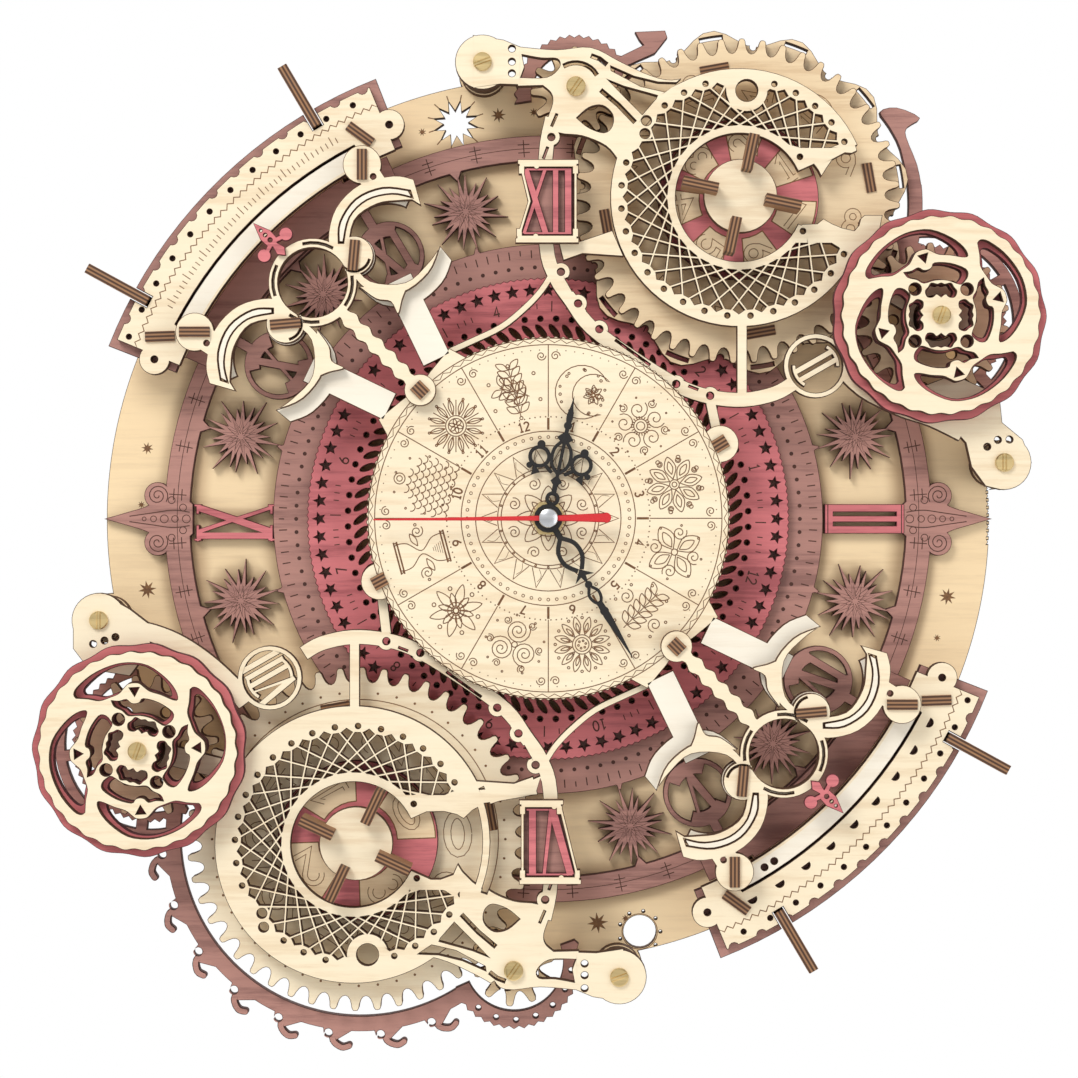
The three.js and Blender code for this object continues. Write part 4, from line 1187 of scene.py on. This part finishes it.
def add_handwheel(group):
    """The pierced face on its red rim, with the pinion and the hub behind them."""
    name, centre, turn = group["name"], group["handwheel"], group["wheel_turn"]
    body = f"{name}_handwheel"
    bore = circle(centre, 2.3)
    rim = Sheet(wavy(centre, 30.7, 0.4, 15, turn))
    rim.cut(bore, wheel_windows(centre, turn, -0.9), spots(4, 10.6, 1.6, turn + 45, centre))
    add_sheet(f"{name}_wheel_rim", rim, RED, body)
    face = Sheet(wavy(centre, 28.55, 0.28, 30, turn))
    face.cut(bore, wheel_windows(centre, turn, 0), spots(4, 10.6, 1.8, turn + 45, centre))
    for i in range(4):
        angle = turn + 106.7 - 90 * i
        face.cut(star(at(17.4, angle, centre), 1.6, 0.8, 3, angle - 180))
    add_sheet(f"{name}_wheel_face", face, CREAM, body)
    teeth, pitch = group["pinion"]
    pinion = Sheet(gear(centre, teeth, pitch, mesh_turn(group, centre, teeth)))
    pinion.cut(bore, spots(6, 11.4, 1.6, 0, centre))
    back, front = heights(f"{name}_pinion")
    board = 3
    add_sheet(f"{name}_pinion", pinion, TAN, body, levels=(back, back + board))
    for i in range(3):
        low = back + 3.2 + 3.4 * i
        levels = (low, min(low + board, front))
        disc = Sheet(circle(centre, 6)).cut(bore)
        add_sheet(f"{name}_pinion", disc, TAN, body, levels, f"{name}_hub_{i}", replace=False)
    screw = f"{name}_wheel_screw"
    add_shouldered_screw(screw, centre, 5, 2, 36.4, (2.6, 36.3, heights(screw)[1] - 0.6), 70)


def add_indicator(group, disc_node, knob_node, body, labels, height):
    """The disc behind the crescent, with a tan panel for each label (text, angle), and its finned knob."""
    axis = group["axis"]
    span = 0.31 * 360 / len(labels)
    radius = reach(disc_node)
    sheet = Sheet(circle(axis, radius)).cut(circle(axis, 3.3))
    for text, angle in labels:
        panel = band(axis, 11.6, radius - 0.7, angle - span, angle + span)
        sheet.mark(panel, slot=SECOND_MARK)
        sheet.outline_number(text, height, 1.7, at(16.4, angle, axis), angle)
        sheet.mark(stroke(panel, 0.35, closed=True))
    add_sheet(disc_node, sheet, PANELLED_PINK, body)
    back, front = heights(knob_node)
    head = (front - 9.4, front - 6.4)
    add_sheet(knob_node, Sheet(circle(axis, 10.7)), CREAM, body, levels=head)
    add_sheet(knob_node, Sheet(circle(axis, 6)), TAN, body, (back, head[0]), f"{knob_node}_hub",
              replace=False)
    fin = box(-5.2, head[0], 5.2, front)
    for i in range(4):
        angle = group["fin_turn"] + 90 * i
        add_board(f"{knob_node}_fin_{i}", fin, at(12.2, angle, axis), angle, body)


# ---------------- gear guards
def wheel_guard(group, start, end):
    """The guard behind a handwheel: two toothed arcs with ties between them."""
    centre = group["handwheel"]
    teeth = [at(23.4 if i % 2 else 22.4, start + (end - start) * i / 60, centre) for i in range(61)]
    inner = teeth + arc(centre, 20.4, end, start)
    ties = [spoke(angle, 21, 27, 3.4, centre) for angle in range(start + 12, end, 38)]
    return [inner, band(centre, 25.4, 28.4, start, end), ties]


def add_guards():
    axis, idler = UPPER["axis"], UPPER["idler"]
    hook = [(111.3, 97.4), (109.8, 105.2), (106.5, 113.6), (107, 116.4), (110.6, 119.2), (103.7, 122.3),
            (98.6, 121), (101.4, 116.5), (104.8, 109.7), (107.3, 97.4)]
    rounded_hook = curve(hook, 3)
    toothed_arc = [at(18.2 if i % 2 else 17.3, 8 + 4.6 * i, idler) for i in range(40)]
    upper = Sheet(band(axis, 38, 45, -45, 150), band(axis, 44, 56.6, -45, -12),
                  band(axis, 51.4, 55.6, -14, 6))
    upper.add(rounded_hook, toothed_arc + arc(idler, 13, 187, 8), strip([(24, 119), (23.4, 132)], 5))
    arrow = [(21.5, 132), (23.7, 134.8), (31.8, 138.4), (35.5, 143.1), (34.8, 145.2), (25.8, 144.8),
             (27.1, 142.4), (28.4, 140.9), (20.4, 137)]
    upper.add(arrow, wheel_guard(UPPER, -58, 128))
    add_sheet("upper_gear_guard", upper, MAUVE)

    axis, idler = LOWER["axis"], LOWER["idler"]
    lower = Sheet(band(axis, 53.5, 58, 148, 304))
    hook_angles = [187.8 + 15.1 * i for i in range(8)]
    for angle in hook_angles:
        tail = curve([(57.6, angle - 1.6), (61.2, angle - 1), (63, angle + 1.6), (62.4, angle + 3.6)], 4)
        root = [(57.4, angle - 4.6), (60.4, angle - 3.4), (61, angle), (57.4, angle + 5)]
        lower.add([at(*polar, axis) for polar in root])
        lower.add(strip([at(*polar, axis) for polar in tail], 1.9))
    lower.cut([circle(at(59.2, angle - 2.6, axis), 1.25) for angle in hook_angles])
    lower.add(wheel_guard(LOWER, 100, 300))
    lower_arc = [at(20 if i % 2 else 19.1, 204 + 4.4 * i, idler) for i in range(41)]
    lower.add(lower_arc + arc(idler, 14.6, 380, 204))
    lower.cut([circle(at(17.2, 232 + 20 * i, idler), 0.8) for i in range(7)])
    add_sheet("lower_gear_guard", lower, MAUVE)


# ---------------- front frames
# The two tongues that join the lower crescent to the band on its right.
LOWER_TONGUES = [
    curve([(-28, -79.6), (-10.8, -78), (-2.2, -75)], 4)
    + curve([(-3.6, -80.6), (-16.2, -82.8), (-28, -84)], 4),
    curve([(-26, -106.5), (-18.9, -109.2), (-10.8, -111.8), (-2.2, -114.4)], 4)
    + curve([(-2.2, -118.4), (-10.8, -116.6), (-19, -117.4), (-26, -121)], 4),
]


def add_crescent(sheet, group, mouth):
    """A wide ring with a mouth on the right, and between its plain edges a lattice tied to small bosses."""
    (hole, outer), eye = group["crescent"], group["eye"]
    axis = [a + b for a, b in zip(group["axis"], group["crescent_shift"])]
    inner_edge, boss_radius, pitch, count = 21.2, 34.6, 11.24, 28
    angles = [group["first_boss"] + pitch * i for i in range(count)]
    edge = []
    for angle in angles:
        edge += [at(33.9, angle - pitch / 2, axis), at(32.7, angle - 2.6, axis), at(32.7, angle + 2.6, axis)]
    sheet.add(band(axis, hole, outer, mouth, 360 - mouth))
    sheet.cut(edge + arc(axis, inner_edge, angles[-1] + pitch / 2, angles[0] - pitch / 2))
    for i in range(-3, count + 3):
        angle = angles[0] + pitch * i
        for lean in (3 * pitch, -3 * pitch):
            sheet.add(stroke([at(20.2, angle + lean, axis), at(boss_radius, angle, axis)], 0.8))
    panel = ((14, 14.6), (outer - 4, 14.6), (outer - 1.7, 0), (outer - 4, -13.4), (15, -13.4))
    sheet.add([(axis[0] + x, axis[1] + y) for x, y in panel])
    pair = [at(*polar, axis) for polar in group["pair"]]
    bosses = [at(boss_radius, angle, axis) for angle in angles]
    bosses = [boss for boss in bosses if math.dist(boss, eye) > 7]
    bosses = [boss for boss in bosses if min(math.dist(boss, big) for big in pair) > 4]
    sheet.add([circle(boss, 1.75) for boss in bosses], circle(eye, 6.2), [circle(big, 2.4) for big in pair])
    sheet.cut(circle(axis, hole), band(axis, hole - 1, outer + 1, -mouth, mouth))
    sheet.add([[at(*polar, axis) for polar in lip] for lip in group["lips"]])
    sheet.cut([circle(at(*polar, axis), 0.8, 12) for polar in ((21.2, 34), (20.9, -28))])
    sheet.cut([circle(boss, 0.78, 12) for boss in bosses], circle(eye, 3.2),
              [circle(big, 1.45) for big in pair])


def numeral_ring(sheet, centre, text, turn):
    radius = 9.4
    sheet.add(circle(centre, radius))
    sheet.cut(circle(centre, radius - 1.5))
    size = 0.72 if len(text) > 2 else 0.8
    for points, width in roman(text, 15, 1.8, 0.9):
        sheet.add(moved(turned(stroke([(x * size, y * 0.86) for x, y in points], width), turn), *centre))
    for end in (90, 270):
        sheet.add(band(centre, 5.8, 7, turn + end - 32, turn + end + 32))


def add_frame(group):
    name, sign, axis = group["name"], group["sign"], group["axis"]
    handwheel, idler, ear = group["handwheel"], group["idler"], group["ear"]

    def own(*points):
        """Points of the upper frame, turned half round for the lower one."""
        return [(x * sign, y * sign) for x, y in points]

    main_band = own(*curve([(1.2, 117), (-0.8, 105), (-0.6, 80), (2.1, 70.5), (6.7, 63.5), (12.6, 55.6),
                            (25, 46.6), (37.4, 38.9), (47, 35.5), (57, 34.6), (66, 36.4), (71.4, 39.4)], 4))
    shield = own((-9, 126.0),
                 *curve([(-1.6, 126.2), (0.8, 124), (1.2, 121), (-0.4, 115), (3.4, 112.3), (10, 111.5),
                         (16.8, 108.6), (20.4, 104.4)], 4),
                 (24, 112), (29, 119), (40, 129.5),
                 *curve([(43.4, 129.6), (36, 127.9), (29.3, 129.4), (21.1, 133.2), (12.4, 137.4),
                         (2.3, 136.7), (-8.5, 137.6)], 4), (-9, 129.4))
    lobe_neck = own((-22, 141), (-13, 139.6), (-8.2, 137.6), (-8.2, 126.4), (-14, 126.6), (-22, 125.4))
    sheet = Sheet(stroke(main_band, 4.4), shield, lobe_neck)
    sheet.add(own((3, 80.6), (9.5, 80.9), (18.7, 84), (22, 76.4), (10, 77.2), (4.4, 75.2)))
    sheet.add(strip(own((56.5, 57), (56.5, 35.5)), 3), [circle(end, 8) for end in group["arm_ends"]])
    sheet.add(strip([(axis[0] + sign * 30, axis[1] - sign * 19), handwheel], 6), circle(handwheel, 10))
    sheet.add(stroke(own(*curve(group["arm"], 4)), 5.4), own(*group["paddle"]))
    bosses = own((37.3, 39.2), (47.2, 35.8), (14.9, 55.2), (8.7, 62.7), (3.7, 71.9))
    sheet.add([circle(boss, 2.7) for boss in bosses])
    rib = own(*curve([(1.5, 72), (-2, 66.5), (-6.9, 61.3), (-13.6, 55.9), (-22, 51.8), (-31.4, 47.6)], 4))
    sheet.add(stroke(rib, 1.9))
    sheet.add(strip([own((47, 35.5))[0], ear], 3), circle(ear, 5))
    add_crescent(sheet, group, 24)
    if group is LOWER:
        sheet.add(band(axis, 36.6, 38.9, -24, 24), LOWER_TONGUES)

    # Openings and slits round the idler's screw and along the arm.
    sheet.cut(own(*curve([(-7.6, 135.2), (-2, 134.2), (2.6, 134), (3.2, 131.6), (-0.4, 128.7), (-8.0, 128.6)],
                         4),
                  (-6.9, 131.6)))
    sheet.cut(own((18.2, 131.9), (25, 128.9), (32, 127.2), (38, 127), (34, 124.4), (27, 126), (18.4, 130.6)))
    sheet.cut(own((16.8, 128.3), (22, 126), (31.8, 123.3), (31.4, 122.4), (27.4, 117.8), (22, 123.2)))
    sheet.cut(stroke(own((15.4, 124.8), (20.4, 120.6), (25.2, 115.6)), 1.1))
    sheet.cut(stroke(arc(idler, 7.0, 90 * (2 - sign) - 60, 90 * (2 - sign) + 30), 1.1))
    sheet.cut(stroke(own((12.6, 134.9), (15, 134), (17, 132.4)), 1.1))
    sheet.cut(own(*curve([(8.3, 116.8), (11.9, 119.8), (15.8, 120.4), (18.7, 117.8), (18.6, 114.4),
                          (16.3, 112.5), (11.9, 113.9), (8.3, 116.8)], 4)[:-1]))
    (lug,) = own((0.9, 111.2))
    sheet.add(circle(lug, 2.6))
    sheet.cut(circle(idler, 1.9), circle(lug, 1.05), circle(ear, 1.2))
    lobe_holes = [(-10.6, y) for y in (137, 133.2, 129.8)]
    sheet.cut([circle(hole, 1.0) for hole in own(*lobe_holes, *group["arm_holes"])])
    sheet.cut([circle(boss, 1.05) for boss in bosses])
    for low, high in (((5.2, 70), (7.2, 66.4)), ((11.4, 60.6), (13.2, 58.6)), ((19.6, 52), (29.6, 44.8)),
                      ((41, 38.6), (43.6, 37.6)), ((2.5, 117.9), (1, 114.4)), ((-0.2, 108.2), (-1.4, 105))):
        sheet.cut(stroke(own(low, high), 0.55))
    sheet.cut(circle(handwheel, 6.5))
    place = group["numeral_place"]
    numeral_ring(sheet, place, group["numeral"], direction(CENTRE, place) - 90)
    add_sheet(f"{name}_frame", sheet, CREAM)
    add_risers(group)
    front = heights(f"{name}_frame")[1]
    add_board(f"{name}_ear_tenon", box(-2.1, 20, 2.1, front + 4.3), ear, direction(CENTRE, ear) + 8,
              thickness=4.0)


def add_risers(group):
    """The stacks of small discs under the ends of the frame's arms, each with its screw."""
    front = heights(f"{group['name']}_frame")[1]
    layers, gap = 5, 0.15
    for i, (side, end) in enumerate(zip(("inner", "outer"), group["arm_ends"])):
        riser = f"{group['name']}_{side}_riser"
        low, high = heights(riser)
        thickness = (high - low) / layers
        for layer in range(layers):
            disc = Sheet(circle(end, 6.8 - 0.5 * (layer % 2)))
            levels = (low + thickness * layer, low + thickness * (layer + 1) - gap)
            wood = CREAM if layer % 2 else TAN
            add_sheet(riser, disc, wood, levels=levels, name=f"{riser}_{layer}", replace=layer == 0)
        add_screw_head(f"{riser}_screw", end, 2.7, front, front + 1.3, 20 + 70 * i)


# ---------------- plaques, peg boards and trident brackets
# The angle of each corner's middle, and of its two peg boards.
UPPER_LEFT, LOWER_RIGHT = 135, -45
CORNERS = (
    {"name": "upper_left", "middle": UPPER_LEFT, "pegs": (120.5, 151.5)},
    {"name": "lower_right", "middle": LOWER_RIGHT, "pegs": (-28.7, -59.6)},
)


def add_plaque(corner):
    """The curved plate on its mauve backing, the shelf under it, and the boards that carry it."""
    name, middle_angle, pegs = corner["name"], corner["middle"], corner["pegs"]
    inner, outer, half, slot_width = 116.5, 136.3, 22.5, 3.6
    slots = [spoke(peg, 132.4, 142, slot_width) for peg in pegs]
    backing = Sheet(band(CENTRE, inner + 0.8, 138.5, middle_angle - 23.6, middle_angle + 23.6))
    add_sheet(f"{name}_plaque_backing", backing.cut(slots), MAUVE)

    shelf = Sheet(band(CENTRE, 107.5, 118, middle_angle - 21, middle_angle + 21))
    shelf.cut([spoke(peg, 117, 119, slot_width) for peg in pegs])
    shelf_levels = (9.6, 12.6)
    add_sheet(f"{name}_plaque_backing", shelf, MAUVE, "root", shelf_levels, f"{name}_shelf", False)

    lugs = [at(124, middle_angle + end * (half + 0.5)) for end in (-1, 1)]
    sheet = Sheet(band(CENTRE, inner, outer, middle_angle - half, middle_angle + half))
    sheet.add([circle(lug, 4.5) for lug in lugs])
    steps = 24
    angles = [middle_angle - half + 2 * half * (i + 0.5) / steps for i in range(steps)]
    sheet.cut([circle(at(outer + 0.3, angle), 1.5, 12) for angle in angles[::2]])
    sheet.cut([circle(at(133.4, angle), 0.75, 12) for angle in angles[1::2]],
              [circle(lug, 1.0) for lug in lugs])
    sheet.mark(band(CENTRE, 117.4, 122.2, middle_angle - 17.6, middle_angle + 17.6), slot=SECOND_MARK)
    slit = [at(117.6, middle_angle - 18), *arc(CENTRE, 122.5, middle_angle - 17.4, middle_angle + 17.4),
            at(117.6, middle_angle + 18)]
    sheet.cut(stroke(slit, 0.55), [circle(at(119.8, middle_angle + end * 16), 0.9) for end in (-1, 1)])
    teeth = 76
    zigzag = [at(131.2 if i % 2 else 130, middle_angle + half * (2 * i / teeth - 1))
              for i in range(teeth + 1)]
    sheet.mark(stroke(zigzag, 0.3))
    if name == "upper_left":
        for i in range(43):
            length = 2.8 if i % 5 == 1 else 1.7
            sheet.mark(spoke(middle_angle + 0.75 * (i - 21), 125.6, 125.6 + length, 0.28))
    else:
        moons = [middle_angle + 4.2 * i for i in range(-4, 5)]
        sheet.cut([arc(at(126, moon), 1.3, moon - 90, moon + 90) for moon in moons])
        sheet.cut([circle(at(119.8, middle_angle + turn), 1.0) for turn in (-13.2, -11.6)])
    add_sheet(f"{name}_plaque", sheet.cut(slots), PLAQUE_WOOD)

    peg_board = [(118, 6.4), (130, 6.4), (134, 15), (153, 17.5), (153, 27.5), (133, 27.5), (133, 19.7),
                 (118, 19.7)]
    for i, angle in enumerate(pegs, 1):
        node = f"{name}_peg_board_{i}"
        add_board(f"{node}_ply", peg_board, CENTRE, angle, nodes=(node,))
    front = heights(f"{name}_plaque")[1]
    for end, (place, turn) in enumerate((((-54.9, 112.1), -36), ((-113.3, 53.1), 2))):
        spot = turned_point(place, middle_angle - UPPER_LEFT)
        add_board(f"{name}_plaque_tenon_{end}", box(-4.3, 20, 4.3, front + 0.8), spot, turn)


def wavy_bar(start, end, half, waves):
    steps = 6
    xs = [start + (end - start) * i / (waves * steps) for i in range(waves * steps + 1)]
    return mirrored([(x, half + 0.5 * math.cos(2 * math.pi * i / steps)) for i, x in enumerate(xs)])


def add_bracket(corner):
    """Two claws on a ring, with a wavy bar towards the dial, drawn along X and turned into place."""
    name, middle_angle = corner["name"], corner["middle"]
    node = f"{name}_bracket"
    centre, ear = (96.3, 0), (52.4, 0)
    pads = {side: (93.4, side * 14) for side in (1, -1)}
    outer_pads = {side: (110.3, side * 34.2) for side in (1, -1)}

    face = Sheet(circle(centre, 12.8), wavy_bar(86, 55, 2.1, 6), circle(ear, 4.6))
    backing = Sheet(circle(centre, 12.4))
    inlay = Sheet()
    for side in (1, -1):
        claw, pad, outer_pad = at(91.8, side * 14.6), pads[side], outer_pads[side]

        def round_claw(*pairs):
            return curve([at(radius, side * angle, claw) for radius, angle in pairs], 4)

        upper_edge = round_claw((13, -78), (15.6, -60), (17.2, -40), (18.2, -10), (19, 20), (19.8, 50),
                                (20.2, 67))
        upper_inside = round_claw((14.6, 74), (13, 60), (12, 30), (11.8, -10), (11.8, -60))
        face.add([*upper_edge, at(14.8, side * 86, claw), *upper_inside], circle(outer_pad, 5.6))
        face.add(stroke([at(17, side * 34, claw), outer_pad], 7))
        lower_edge = round_claw((13.4, -72), (14.4, -110), (14.6, -150), (14.4, -190), (15.2, -223))
        lower_inside = round_claw((15.2, -223), (12.9, -200), (12.2, -160), (11.8, -110), (11.4, -70))
        face.add(lower_edge + lower_inside[1:], circle(pad, 5.6))
        tongue = curve([(86, side * 8.6), (80, side * 9.6), (76.4, side * 12), (72.4, side * 11),
                        (74.6, side * 15),
                        at(13.6, side * -160, claw)], 4)
        face.add([*tongue, at(12.6, side * -120, claw)])
        slot_out = round_claw((14.2, -44), (15.2, -20), (16, 10), (16.4, 40), (16.9, 68))
        slot_in = round_claw((15.2, 74), (14.5, 50), (14, 20), (13.4, -10), (12.7, -44))
        face.cut(slot_out + slot_in, circle(at(20, side * 33, claw), 0.8))
        inlay_out = round_claw((14, -42), (15, -20), (15.8, 10), (16.2, 40), (16.6, 66))
        inlay_in = round_claw((15.3, 72), (14.7, 50), (14.2, 20), (13.6, -10), (12.9, -42))
        inlay.add(inlay_out + inlay_in)
        backing.add(band(claw, 12.2, 16.4, side * -75, side * 70))
        white_edge = round_claw((15, -100), (17.4, -130), (18.8, -160), (19, -190), (19, -212))
        white_inside = round_claw((15, -225), (13.2, -200), (12.6, -160), (12.2, -110))
        backing.add(white_edge + white_inside, circle(pad, 6))
        backing.add(stroke([(80, side * 18.2), (55.4, side * 9.6)], 8.6))
    face.cut(circle(centre, 10.1), [stroke(arc(centre, 11.5, a, a + 44), 0.6) for a in (20, 100, 190, 285)])
    backing.cut(circle(centre, 10.3))
    face.cut([stroke(arc(pad, 4.6, side * 150, side * 290), 0.5) for side, pad in pads.items()])

    inlay_levels, face_levels = (30.45, 33.5), (30.8, 33.8)
    add_sheet(node, inlay.turned(middle_angle), WHITE, "root", inlay_levels, f"{node}_inlay", False)
    add_sheet(node, face.turned(middle_angle), CREAM, levels=face_levels)
    add_sheet(f"{node}_backing", backing.turned(middle_angle), WHITE)
    front = heights(node)[1]
    for side in (1, -1):
        pad, outer_pad = [turned_point(place[side], middle_angle) for place in (pads, outer_pads)]
        turn = middle_angle + side * 50
        add_board(f"{name}_leg_{side}", box(-4.4, 9.6, 4.4, front + 1), pad, turn)
        add_board(f"{name}_outer_leg_{side}", box(-4.4, 26.4, 4.4, front + 1), outer_pad, turn - side * 5)
    tenon = box(-2.1, 24, 2.1, front + 0.8)
    add_board(f"{name}_ear_tenon", tenon, turned_point(ear, middle_angle), middle_angle, thickness=4.0)


def add_pointer(corner):
    """A small pink fleur between the bracket's claws."""
    spear = [(107, 0), (109, 1.6), (111.4, 0.9), (112.6, 1.9), (115.4, 2.0), (120.4, 0)]
    pointer = Sheet(mirrored(spear))
    for side in (1, -1):
        pointer.add(circle((111.4, side * 4.4), 2.0), stroke([(112.6, 0), (111.6, side * 3)], 1.5))
    pointer.cut([circle((x, 0), radius) for x, radius in ((113.4, 0.6), (115.4, 0.5), (117.2, 0.4))])
    add_sheet(f"{corner['name']}_pointer", pointer.turned(corner["middle"]), PINK)


# ---------------- movement, seen from the sides and the back
def paint_kept_nodes():
    """Nodes that keep the CAD's own mesh get a real material."""
    paints = {
        "quartz_movement": PLASTIC, "battery": SHELL, "arbor_nut": BRASS, "dial_cradle": TAN_FACE,
        "upper_gear_axle": PLY_END, "lower_gear_axle": PLY_END,
    }
    for node, material in paints.items():
        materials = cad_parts[node].data.materials
        materials.clear()
        materials.append(material)


# ---------------- camera, light and floor
def add_studio():
    scene = bpy.context.scene
    scene.view_settings.view_transform = "Standard"
    camera_data = bpy.data.cameras.new("Camera")
    camera_data.sensor_width = 36
    camera_data.lens = 83.5
    camera = bpy.data.objects.new("Camera", camera_data)
    camera.location = (-0.0027, -0.756, -0.006)
    camera.rotation_euler = (math.radians(90), 0, 0)
    scene.collection.objects.link(camera)
    scene.camera = camera

    # A plain white world, seen a little brighter than it lights.
    world = bpy.data.worlds.new("Studio")
    world.use_nodes = True
    tree = world.node_tree
    lighting = tree.nodes["Background"]
    seen = tree.nodes.new("ShaderNodeBackground")
    for background, strength in ((lighting, 0.72), (seen, 1.0)):
        background.inputs["Color"].default_value = (1, 1, 1, 1)
        background.inputs["Strength"].default_value = strength
    mix = tree.nodes.new("ShaderNodeMixShader")
    path = tree.nodes.new("ShaderNodeLightPath")
    sources = (path.outputs["Is Camera Ray"], lighting.outputs[0], seen.outputs[0])
    for source, socket in zip(sources, mix.inputs):
        tree.links.new(source, socket)
    tree.links.new(mix.outputs[0], tree.nodes["World Output"].inputs["Surface"])
    scene.world = world

    for name, place, size, power in (
        ("Key", (-0.55, -1.0, 0.85), 0.5, 10.5),
        ("Fill", (0.9, -0.8, -0.1), 0.9, 3.0),
        ("Back", (0.2, 0.9, 0.9), 0.8, 9.0),
    ):
        data = bpy.data.lights.new(name, "AREA")
        data.size = size
        data.energy = power
        light = bpy.data.objects.new(name, data)
        light.location = place
        light.rotation_euler = (-Vector(place)).to_track_quat("-Z", "Y").to_euler()
        scene.collection.objects.link(light)

    floor = bpy.data.meshes.new("Floor")
    radius, height, sides = 0.42, -0.36, 72
    floor.from_pydata([(*point, height) for point in circle(CENTRE, radius, sides)], [], [list(range(sides))])
    floor_piece = bpy.data.objects.new("Floor", floor)
    scene.collection.objects.link(floor_piece)
    g = Graph("Pale floor")
    cloud = g.noise(9, 2)
    floor.materials.append(g.finish(g.ramp(cloud, (0.3, (0.83, 0.83, 0.82)), (0.7, (0.87, 0.87, 0.86))), 0.8))


add_studio()
add_back_board()
add_base()
add_numeral_frame()
add_side_numerals()
TWELVE_STROKES = ((-0.76, -0.04, 2.0), (-0.06, -0.82, 1.3), (0.3, 0.3, 1.9), (0.74, 0.74, 2.2))
SIX_STROKES = ((-0.74, -0.08, 2.4), (0.22, -0.02, 1.3), (0.64, 0.64, 2.4))
add_front_numeral("numeral_twelve", TWELVE_STROKES, ((-0.92, 1), (-0.62, 0), (-1, -1)), upside_down=False)
add_front_numeral("numeral_six", SIX_STROKES, ((-1, 1), (-0.36, -1)), upside_down=True)
add_month_ring()
add_dial()
add_hands()
add_guards()
for group in GROUPS:
    add_main_gear(group)
    add_idler(group)
    add_handwheel(group)
    add_frame(group)
weekdays = [(str(i + 1), 8 + 360 * (i + 0.5) / 7) for i in range(7)]
tens = [(str(i), 30 + 90 * i) for i in range(4)]
add_indicator(UPPER, "weekday_disc", "weekday_knob", "weekday_dial", weekdays, 7.5)
add_indicator(LOWER, "tens_disc", "tens_knob", "tens_dial", tens, 9.5)
for corner in CORNERS:
    add_plaque(corner)
    add_bracket(corner)
    add_pointer(corner)
paint_kept_nodes()
